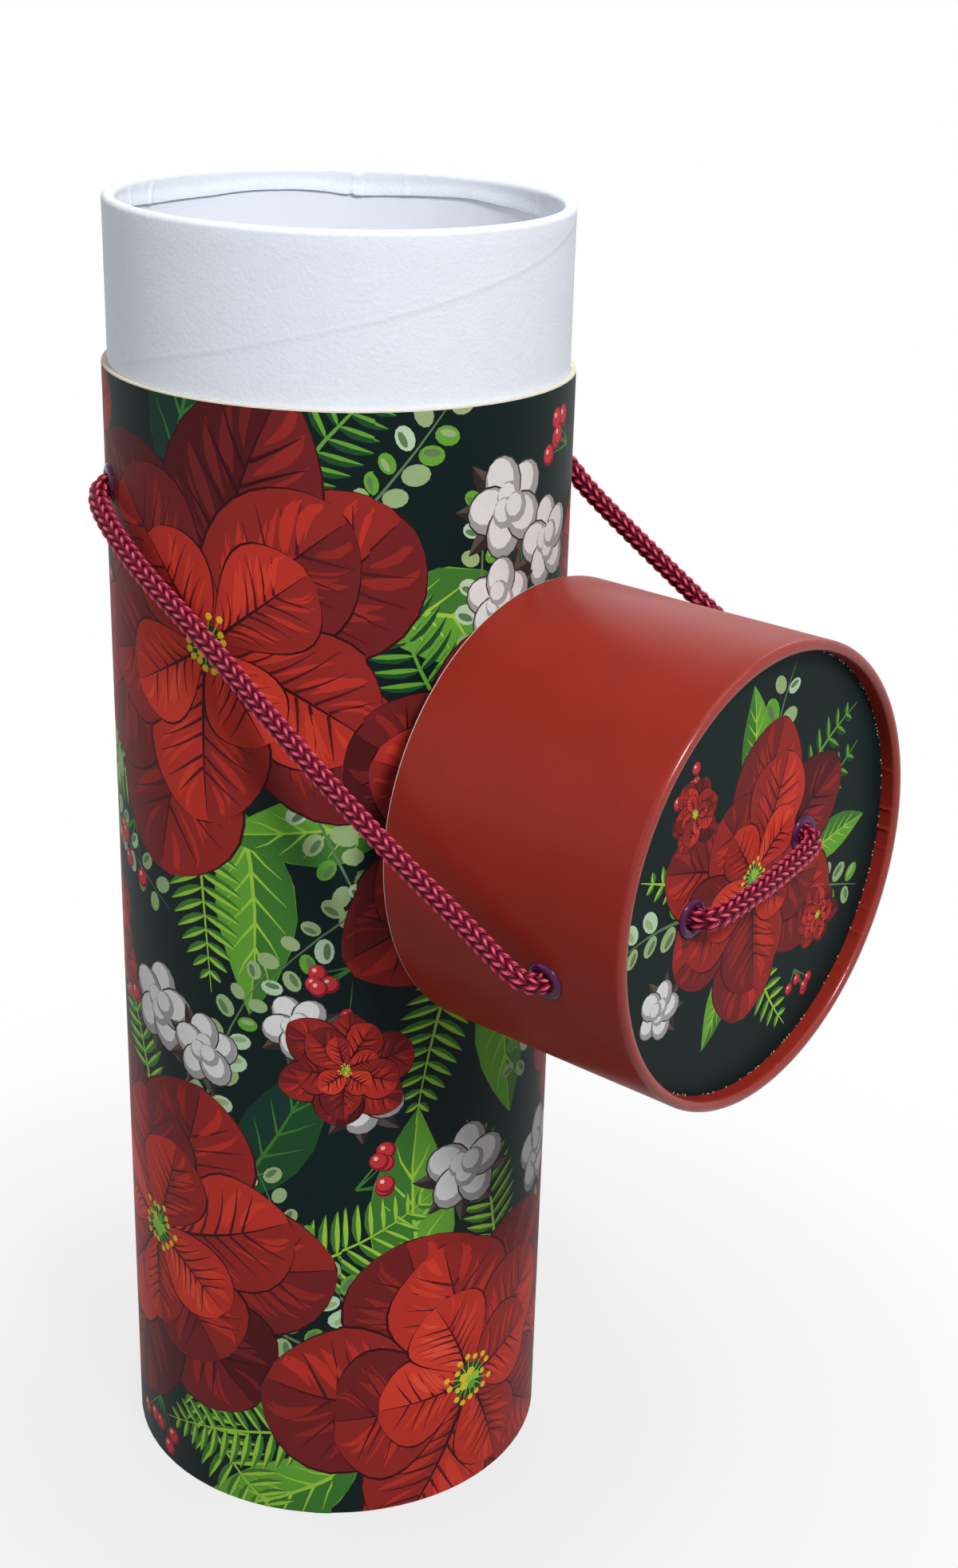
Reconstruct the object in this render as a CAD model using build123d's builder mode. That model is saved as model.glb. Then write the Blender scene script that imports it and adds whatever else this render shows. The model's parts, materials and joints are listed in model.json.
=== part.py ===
"""Cylindrical gift tube box with a lid that hangs from a carrying cord.

A white inner tube stands up out of a printed outer tube and forms the neck that the lid slides over.
The lid is shown taken off. One knitted cord holds it: each end is knotted inside the tube, runs out
through an eyelet, round the outside, in through an eyelet in the lid's side, and out over the lid's
top, where it is the carrying handle.

Millimetres, +Z up. The origin is the centre of the tube's foot, and +X is the way the hung lid's
closed end points.
"""

import os
from math import cos, pi, radians, sin, sqrt, tan

from build123d import *

os.makedirs("parts", exist_ok=True)

# Outer tube
tube_radius = 49.0
shoulder_height = 259.0
sleeve_board = 1.0
paper = 0.15
foot_recess = 3.8
foot_curl = 2.15
foot_edge = 0.6
curl_edge = 1.0

# Neck tube, glued inside the outer tube
glue_gap = 0.05
neck_board = 2.25
neck_rise = 33.0
neck_paper_tuck = 10.0
neck_paper_turn_in = 6.0
lining_setback = 2.0

# Base
base_board = 2.0

# Lap where the printed paper meets itself
lap_width = 7.0
lap_azimuth = -43.0
print_setback = 0.2

# Lid
lid_length = 60.0
lid_board = 0.7
lid_fit_gap = 0.2
lid_recess = 3.8
lid_curl = 2.15
lid_board_disc = 2.0
lid_edge_setback = 0.3

# Where the lid hangs
lean_gap = 0.3
lid_side_shift = 10.1
lid_hang = 64.3

# Eyelets, all of one pattern
eyelet_bore = 2.5
eyelet_wall = 0.3
flange_radius = 4.1
flange_height = 0.9
flange_edge = 0.35
clench_radius = 3.9
clench_height = 0.6
washer_radius = 4.5
washer_thickness = 0.5
punch_gap = 0.1

# Where the eyelets are
tube_eyelet_azimuth = 240.0
tube_eyelet_below_shoulder = 23.5
side_eyelet_from_end = 19.0
side_eyelet_tilt = 13.7
top_line_tilt = 9.6
top_line_rise = 1.6
top_eyelet_near = 21.9
top_eyelet_far = 16.6

# Cord
cord_radius = 2.1
cord_seat = 1.5
knot_radius = 5.2
knot_length = 8.5
knot_gap = 0.1
knot_tail = 4.0
run_share = 0.45

# One overrun for all cuts
cut_over = 1.0

# Radii and heights that follow
print_inner = tube_radius - paper
sleeve_inner = print_inner - sleeve_board
neck_radius = sleeve_inner - glue_gap
neck_outer = neck_radius - paper
neck_inner = neck_outer - neck_board
lining_inner = neck_inner - paper
turn_in_inner = lining_inner - paper
rim_height = shoulder_height + neck_rise
rim_board_top = rim_height - paper
foot_inner = print_inner - foot_curl
base_cover_top = foot_recess + paper
base_top = base_cover_top + base_board
liner_top = base_top + paper
paper_edge = curl_edge + paper
print_bottom = foot_edge + paper
print_height = shoulder_height - print_setback - print_bottom

lid_inner = neck_radius + lid_fit_gap
lid_board_inner = lid_inner + paper
lid_board_outer = lid_board_inner + lid_board
lid_radius = lid_board_outer + paper
lid_curl_inner = lid_board_outer - lid_curl
lid_wrap_inner = lid_curl_inner - paper
lid_end = lid_length - paper
lid_face = lid_length - lid_recess
lid_print_back = lid_face - paper
lid_disc_back = lid_print_back - lid_board_disc
lid_lining_back = lid_disc_back - paper

# The lid's mouth leans on the outer tube, with its axis level
mouth_x = tube_radius + lean_gap
tube_eyelet_height = shoulder_height - tube_eyelet_below_shoulder
lid_height = tube_eyelet_height - lid_hang
lid_mouth = Vector(mouth_x, lid_side_shift, lid_height)
lid_axis = Axis(lid_mouth, (1, 0, 0))
# On this plane the first axis is the lid's radius and the second runs from the mouth to the closed end
lid_section = Plane(origin=lid_mouth, x_dir=(0, 0, 1), z_dir=(0, 1, 0))


def along_lid(distance):
    """A point on the lid's axis, a distance from its mouth."""
    return lid_mouth + Vector(distance, 0, 0)


def tube_direction(azimuth):
    """Straight out of the tube, level, at an azimuth in degrees."""
    return Vector(cos(radians(azimuth)), sin(radians(azimuth)), 0)


def seat_depth(outer, inner, reach):
    """How far under a curved wall's outer face a flat washer first touches its inner face."""
    return outer - sqrt(inner**2 - reach**2)


def section_plane(place, outward, across):
    """A plane with its first axis across an eyelet and its second straight out of it."""
    return Plane(origin=place, x_dir=across, z_dir=across.cross(outward))


def bend_radii(points):
    """The radius of each bend: as large as the shorter of its two runs allows."""
    corners = [Vector(*point) for point in points]
    radii = []
    for before, corner, after in zip(corners, corners[1:], corners[2:]):
        run_in = corner - before
        run_out = after - corner
        half_turn = radians(run_in.get_angle(run_out)) / 2
        radii.append(run_share * min(run_in.length, run_out.length) / tan(half_turn))
    return radii


# The eyelets' places: a name, the point on the outer face, straight out, across, and the wall they grip
near_side = Vector(0, -cos(radians(side_eyelet_tilt)), -sin(radians(side_eyelet_tilt)))
far_side = near_side * -1
along_line = Vector(0, cos(radians(top_line_tilt)), sin(radians(top_line_tilt)))
above_line = Vector(0, -sin(radians(top_line_tilt)), cos(radians(top_line_tilt)))
side_line_middle = along_lid(lid_length - side_eyelet_from_end)
top_line_middle = along_lid(lid_face) + above_line * top_line_rise
left_out = tube_direction(tube_eyelet_azimuth)
right_out = left_out * -1
up = Vector(0, 0, 1)
lid_forward = Vector(1, 0, 0)

tube_grip = seat_depth(tube_radius, lining_inner, washer_radius)
side_grip = seat_depth(lid_radius, lid_inner, washer_radius)
top_grip = lid_face - lid_lining_back

tube_eyelets = [
    ("left", left_out * tube_radius + up * tube_eyelet_height, left_out, up),
    ("right", right_out * tube_radius + up * tube_eyelet_height, right_out, up),
]
side_eyelets = [
    ("near", side_line_middle + near_side * lid_radius, near_side, lid_forward),
    ("far", side_line_middle + far_side * lid_radius, far_side, lid_forward),
]
top_eyelets = [
    ("near", top_line_middle - along_line * top_eyelet_near, lid_forward, up),
    ("far", top_line_middle + along_line * top_eyelet_far, lid_forward, up),
]
tube_holes = [Plane(origin=place, z_dir=outward) for _, place, outward, _ in tube_eyelets]
side_holes = [Plane(origin=place, z_dir=outward) for _, place, outward, _ in side_eyelets]
top_holes = [Plane(origin=place, z_dir=outward) for _, place, outward, _ in top_eyelets]
barrel_radius = eyelet_bore + eyelet_wall
punch_radius = barrel_radius + punch_gap
tube_punch = tube_grip + cut_over
side_punch = side_grip + cut_over
top_punch = top_grip + cut_over

# Outer tube: wound board, rolled in at the foot to a thick edge that carries the base
with BuildPart() as outer_tube:
    with BuildSketch(Plane.XZ):
        with BuildLine():
            Line((foot_inner + foot_edge, 0), (print_inner - foot_edge, 0))
            RadiusArc((print_inner - foot_edge, 0), (print_inner, foot_edge), -foot_edge)
            Polyline(
                (print_inner, foot_edge),
                (print_inner, shoulder_height),
                (sleeve_inner, shoulder_height),
                (sleeve_inner, foot_recess),
                (foot_inner, foot_recess),
                (foot_inner, foot_edge),
            )
            RadiusArc((foot_inner, foot_edge), (foot_inner + foot_edge, 0), -foot_edge)
        make_face()
    revolve(axis=Axis.Z)
    with BuildSketch(*tube_holes):
        Circle(punch_radius)
    extrude(amount=tube_punch, both=True, mode=Mode.SUBTRACT)
outer_tube.part.label = "outer_tube"
export_step(outer_tube.part, "parts/outer_tube.step")

# Printed paper round the outer tube, with the lap where its end is glued over its start
with BuildPart() as print_wrap:
    with BuildSketch(Plane.XY.offset(print_bottom)):
        Circle(tube_radius)
        Circle(print_inner, mode=Mode.SUBTRACT)
    extrude(amount=print_height)
    with BuildSketch(Plane.XY.offset(print_bottom)):
        Circle(tube_radius + paper)
        Circle(tube_radius, mode=Mode.SUBTRACT)
        with PolarLocations(tube_radius, 1, start_angle=lap_azimuth):
            Rectangle(lap_width, lap_width, mode=Mode.INTERSECT)
    extrude(amount=print_height)
    with BuildSketch(*tube_holes):
        Circle(punch_radius)
    extrude(amount=tube_punch, both=True, mode=Mode.SUBTRACT)
print_wrap.part.label = "print_wrap"
export_step(print_wrap.part, "parts/print_wrap.step")

# Neck tube: thicker board that stands on the base and out past the shoulder
with BuildPart() as neck_tube:
    with BuildSketch(Plane.XZ):
        with BuildLine():
            Polyline(
                (neck_inner, rim_board_top - curl_edge),
                (neck_inner, base_top),
                (neck_outer, base_top),
                (neck_outer, rim_board_top - curl_edge),
            )
            RadiusArc(
                (neck_outer, rim_board_top - curl_edge),
                (neck_outer - curl_edge, rim_board_top),
                -curl_edge,
            )
            Line((neck_outer - curl_edge, rim_board_top), (neck_inner + curl_edge, rim_board_top))
            RadiusArc(
                (neck_inner + curl_edge, rim_board_top),
                (neck_inner, rim_board_top - curl_edge),
                -curl_edge,
            )
        make_face()
    revolve(axis=Axis.Z)
    with BuildSketch(*tube_holes):
        Circle(punch_radius)
    extrude(amount=tube_punch, both=True, mode=Mode.SUBTRACT)
neck_tube.part.label = "neck_tube"
export_step(neck_tube.part, "parts/neck_tube.step")

# White paper over the neck, turned over the rim and down inside
lining_top = rim_height - lining_setback
with BuildPart() as neck_wrap:
    with BuildSketch(Plane.XZ):
        with BuildLine():
            Polyline(
                (neck_outer, rim_board_top - curl_edge),
                (neck_outer, shoulder_height - neck_paper_tuck),
                (neck_radius, shoulder_height - neck_paper_tuck),
                (neck_radius, rim_height - paper_edge),
            )
            RadiusArc(
                (neck_radius, rim_height - paper_edge),
                (neck_radius - paper_edge, rim_height),
                -paper_edge,
            )
            Line((neck_radius - paper_edge, rim_height), (turn_in_inner + paper_edge, rim_height))
            RadiusArc(
                (turn_in_inner + paper_edge, rim_height),
                (turn_in_inner, rim_height - paper_edge),
                -paper_edge,
            )
            Polyline(
                (turn_in_inner, rim_height - paper_edge),
                (turn_in_inner, rim_height - neck_paper_turn_in),
                (lining_inner, rim_height - neck_paper_turn_in),
                (lining_inner, lining_top),
                (neck_inner, lining_top),
                (neck_inner, rim_board_top - curl_edge),
            )
            RadiusArc(
                (neck_inner, rim_board_top - curl_edge),
                (neck_inner + curl_edge, rim_board_top),
                curl_edge,
            )
            Line((neck_inner + curl_edge, rim_board_top), (neck_outer - curl_edge, rim_board_top))
            RadiusArc(
                (neck_outer - curl_edge, rim_board_top),
                (neck_outer, rim_board_top - curl_edge),
                curl_edge,
            )
        make_face()
    revolve(axis=Axis.Z)
neck_wrap.part.label = "neck_wrap"
export_step(neck_wrap.part, "parts/neck_wrap.step")

# White paper that lines the neck tube from the base to just under the rim
with BuildPart() as inner_lining:
    with BuildSketch(Plane.XY.offset(liner_top)):
        Circle(neck_inner)
        Circle(lining_inner, mode=Mode.SUBTRACT)
    extrude(amount=lining_top - liner_top)
    with BuildSketch(*tube_holes):
        Circle(punch_radius)
    extrude(amount=tube_punch, both=True, mode=Mode.SUBTRACT)
inner_lining.part.label = "inner_lining"
export_step(inner_lining.part, "parts/inner_lining.step")

# Base: a board disc that rests on the rolled foot, papered below and above
with BuildPart() as base_cover:
    with BuildSketch(Plane.XY.offset(foot_recess)):
        Circle(sleeve_inner - glue_gap)
    extrude(amount=paper)
base_cover.part.label = "base_cover"
export_step(base_cover.part, "parts/base_cover.step")

with BuildPart() as base_disc:
    with BuildSketch(Plane.XY.offset(base_cover_top)):
        Circle(sleeve_inner - glue_gap)
    extrude(amount=base_board)
base_disc.part.label = "base_disc"
export_step(base_disc.part, "parts/base_disc.step")

with BuildPart() as base_liner:
    with BuildSketch(Plane.XY.offset(base_top)):
        Circle(neck_inner - glue_gap)
    extrude(amount=paper)
base_liner.part.label = "base_liner"
export_step(base_liner.part, "parts/base_liner.step")

# Lid tube: thin board, rolled in at the closed end to a thick rim
with BuildPart() as lid_tube:
    with BuildSketch(lid_section):
        with BuildLine():
            Polyline(
                (lid_curl_inner, lid_end - curl_edge),
                (lid_curl_inner, lid_face),
                (lid_board_inner, lid_face),
                (lid_board_inner, 0),
                (lid_board_outer, 0),
                (lid_board_outer, lid_end - curl_edge),
            )
            RadiusArc(
                (lid_board_outer, lid_end - curl_edge),
                (lid_board_outer - curl_edge, lid_end),
                -curl_edge,
            )
            Line((lid_board_outer - curl_edge, lid_end), (lid_curl_inner + curl_edge, lid_end))
            RadiusArc(
                (lid_curl_inner + curl_edge, lid_end),
                (lid_curl_inner, lid_end - curl_edge),
                -curl_edge,
            )
        make_face()
    revolve(axis=lid_axis)
    with BuildSketch(*side_holes):
        Circle(punch_radius)
    extrude(amount=side_punch, both=True, mode=Mode.SUBTRACT)
lid_tube.part.label = "lid_tube"
export_step(lid_tube.part, "parts/lid_tube.step")

# Red paper round the lid, over its rolled rim and down to the disc
with BuildPart() as lid_wrap:
    with BuildSketch(lid_section):
        with BuildLine():
            Polyline(
                (lid_board_outer, lid_end - curl_edge),
                (lid_board_outer, lid_edge_setback),
                (lid_radius, lid_edge_setback),
                (lid_radius, lid_length - paper_edge),
            )
            RadiusArc(
                (lid_radius, lid_length - paper_edge),
                (lid_radius - paper_edge, lid_length),
                -paper_edge,
            )
            Line((lid_radius - paper_edge, lid_length), (lid_wrap_inner + paper_edge, lid_length))
            RadiusArc(
                (lid_wrap_inner + paper_edge, lid_length),
                (lid_wrap_inner, lid_length - paper_edge),
                -paper_edge,
            )
            Polyline(
                (lid_wrap_inner, lid_length - paper_edge),
                (lid_wrap_inner, lid_face),
                (lid_curl_inner, lid_face),
                (lid_curl_inner, lid_end - curl_edge),
            )
            RadiusArc(
                (lid_curl_inner, lid_end - curl_edge),
                (lid_curl_inner + curl_edge, lid_end),
                curl_edge,
            )
            Line((lid_curl_inner + curl_edge, lid_end), (lid_board_outer - curl_edge, lid_end))
            RadiusArc(
                (lid_board_outer - curl_edge, lid_end),
                (lid_board_outer, lid_end - curl_edge),
                curl_edge,
            )
        make_face()
    revolve(axis=lid_axis)
    with BuildSketch(*side_holes):
        Circle(punch_radius)
    extrude(amount=side_punch, both=True, mode=Mode.SUBTRACT)
lid_wrap.part.label = "lid_wrap"
export_step(lid_wrap.part, "parts/lid_wrap.step")

# White paper inside the lid
with BuildPart() as lid_lining:
    with BuildSketch(Plane(origin=along_lid(lid_edge_setback), z_dir=lid_forward)):
        Circle(lid_board_inner)
        Circle(lid_inner, mode=Mode.SUBTRACT)
    extrude(amount=lid_lining_back - lid_edge_setback)
    with BuildSketch(*side_holes):
        Circle(punch_radius)
    extrude(amount=side_punch, both=True, mode=Mode.SUBTRACT)
lid_lining.part.label = "lid_lining"
export_step(lid_lining.part, "parts/lid_lining.step")

# Lid disc: board under the rolled rim, with its printed paper outside and white paper inside
with BuildPart() as lid_disc:
    with BuildSketch(Plane(origin=along_lid(lid_disc_back), z_dir=lid_forward)):
        Circle(lid_board_inner - glue_gap)
    extrude(amount=lid_board_disc)
    with BuildSketch(*top_holes):
        Circle(punch_radius)
    extrude(amount=top_punch, both=True, mode=Mode.SUBTRACT)
lid_disc.part.label = "lid_disc"
export_step(lid_disc.part, "parts/lid_disc.step")

with BuildPart() as lid_disc_print:
    with BuildSketch(Plane(origin=along_lid(lid_print_back), z_dir=lid_forward)):
        Circle(lid_board_inner - glue_gap)
    extrude(amount=paper)
    with BuildSketch(*top_holes):
        Circle(punch_radius)
    extrude(amount=top_punch, both=True, mode=Mode.SUBTRACT)
lid_disc_print.part.label = "lid_disc_print"
export_step(lid_disc_print.part, "parts/lid_disc_print.step")

with BuildPart() as lid_disc_lining:
    with BuildSketch(Plane(origin=along_lid(lid_lining_back), z_dir=lid_forward)):
        Circle(lid_board_inner - glue_gap)
    extrude(amount=paper)
    with BuildSketch(*top_holes):
        Circle(punch_radius)
    extrude(amount=top_punch, both=True, mode=Mode.SUBTRACT)
lid_disc_lining.part.label = "lid_disc_lining"
export_step(lid_disc_lining.part, "parts/lid_disc_lining.step")

# Eyelets: a rolled flange outside, a barrel through the wall, and its end clenched over a washer
eyelet_sets = [
    ("tube", tube_eyelets, tube_grip),
    ("lid_side", side_eyelets, side_grip),
    ("lid_top", top_eyelets, top_grip),
]
for set_name, eyelets, grip in eyelet_sets:
    clench_top = grip + washer_thickness
    clench_end = clench_top + clench_height
    flange_middle = (eyelet_bore + flange_radius) / 2
    for side, place, outward, across in eyelets:
        with BuildPart() as eyelet:
            with BuildSketch(section_plane(place, outward, across)):
                with BuildLine():
                    Polyline(
                        (eyelet_bore, flange_edge),
                        (eyelet_bore, -clench_end),
                        (clench_radius, -clench_end),
                        (clench_radius, -clench_top),
                        (barrel_radius, -clench_top),
                        (barrel_radius, 0),
                        (flange_radius, 0),
                        (flange_radius, flange_edge),
                    )
                    ThreePointArc(
                        (flange_radius, flange_edge),
                        (flange_middle, flange_height),
                        (eyelet_bore, flange_edge),
                    )
                make_face()
            revolve(axis=Axis(place, outward))
        eyelet.part.label = f"{set_name}_eyelet_{side}"
        export_step(eyelet.part, f"parts/{set_name}_eyelet_{side}.step")

        with BuildPart() as washer:
            with BuildSketch(Plane(origin=place - outward * clench_top, z_dir=outward)):
                Circle(washer_radius)
                Circle(punch_radius, mode=Mode.SUBTRACT)
            extrude(amount=washer_thickness)
        washer.part.label = f"{set_name}_washer_{side}"
        export_step(washer.part, f"parts/{set_name}_washer_{side}.step")

# Knots at the cord's two ends, pulled up against the clenched eyelets inside the tube
knot_top = tube_grip + washer_thickness + clench_height + knot_gap
for side, place, outward, across in tube_eyelets:
    with BuildPart() as knot:
        with BuildSketch(section_plane(place, outward, across)):
            with BuildLine():
                Polyline(
                    (cord_radius, -knot_top),
                    (cord_radius, -cord_seat),
                    (0, -cord_seat),
                    (0, -knot_top - knot_length - knot_tail),
                    (cord_radius, -knot_top - knot_length - knot_tail),
                    (cord_radius, -knot_top - knot_length),
                )
                ThreePointArc(
                    (cord_radius, -knot_top - knot_length),
                    (knot_radius, -knot_top - knot_length / 2),
                    (cord_radius, -knot_top),
                )
            make_face()
        revolve(axis=Axis(place, outward))
    knot.part.label = f"cord_knot_{side}"
    export_step(knot.part, f"parts/cord_knot_{side}.step")

# The cord's stretches, each from face to face with the next, along points laid by hand
cord_routes = {
    "cord_left": [
        (-23.775, -41.18, 235.5),
        (-24.92, -43.15, 235.5),
        (-25.15, -45.06, 235.0),
        (-23.92, -46.64, 234.0),
        (-20.63, -48.13, 231.7),
        (-15.09, -49.8, 228.3),
        (-4.26, -51.75, 222.3),
        (11.3, -50.8, 213.0),
        (33.0, -48.3, 195.8),
        (56.0, -45.7, 179.9),
        (71.5, -43.9, 170.6),
        (79.3, -43.1, 165.8),
        (83.7, -42.7, 163.0),
        (87.6, -41.9, 160.6),
        (89.3, -40.4, 159.75),
        (90.3, -38.312, 159.398),
        (90.3, -36.097, 159.938),
    ],
    "cord_right": [
        (23.775, 41.18, 235.5),
        (24.95, 43.21, 235.5),
        (26.6, 44.7, 234.3),
        (29.6, 45.6, 230.6),
        (39.0, 47.9, 223.0),
        (60.0, 52.9, 207.4),
        (72.5, 56.6, 197.6),
        (79.1, 59.3, 192.2),
        (84.5, 61.0, 188.2),
        (87.9, 61.4, 185.6),
        (89.4, 60.4, 184.2),
        (90.3, 58.512, 183.002),
        (90.3, 56.297, 182.462),
    ],
    "cord_inside_near": [
        (90.3, -36.05, 159.95),
        (90.3, -31.63, 161.03),
        (88.2, -26.6, 161.3),
        (84.2, -21.6, 161.9),
        (82.6, -15.4, 164.6),
        (85.4, -11.3, 168.0),
        (90.6, -11.45, 169.1),
        (95.6, -11.6, 169.1),
    ],
    "cord_inside_far": [
        (90.3, 56.25, 182.45),
        (90.3, 51.83, 181.37),
        (88.3, 46.0, 178.8),
        (84.6, 40.2, 175.9),
        (82.4, 33.8, 173.9),
        (84.6, 28.0, 173.9),
        (90.4, 26.35, 175.35),
        (95.6, 26.2, 175.5),
    ],
    "cord_handle": [
        (95.65, -11.6, 169.1),
        (99.0, -11.7, 169.1),
        (102.9, -11.8, 169.2),
        (106.33, -11.76, 169.13),
        (108.39, -10.69, 169.3),
        (109.69, -8.78, 169.6),
        (110.4, -4.6, 170.4),
        (110.9, 7.2, 172.3),
        (110.4, 19.1, 174.3),
        (109.69, 23.22, 175.0),
        (108.39, 25.13, 175.35),
        (106.33, 26.2, 175.55),
        (102.9, 26.15, 175.5),
        (99.0, 26.1, 175.6),
        (95.65, 26.2, 175.5),
    ],
}
cord_section = pi * cord_radius**2
for name, route in cord_routes.items():
    radii = bend_radii(route)
    with BuildPart() as cord:
        with BuildLine() as cord_path:
            FilletPolyline(*route, radius=radii)
        path = cord_path.wires()[0]
        with BuildSketch(Plane(origin=path @ 0, z_dir=path % 0)):
            Circle(cord_radius)
        sweep(path=path)
    cord.part.label = name
    export_step(cord.part, f"parts/{name}.step")
    volume_share = cord.part.volume / (cord_section * path.length)
    print(name, "length", round(path.length, 1), "volume share", round(volume_share, 4))
    print("  bend radii", " ".join(str(round(radius, 1)) for radius in radii))
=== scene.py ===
"""The looks of the cylindrical gift tube box, from its board and papers to its eyelets and cord.

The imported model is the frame. Everything is in metres in its frame; the papers are drawn flat in
millimetres and then wrapped, as the real ones are printed flat and then glued on.
"""

import json
import random
from math import atan2, cos, degrees, exp, hypot, pi, radians, sin

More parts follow.
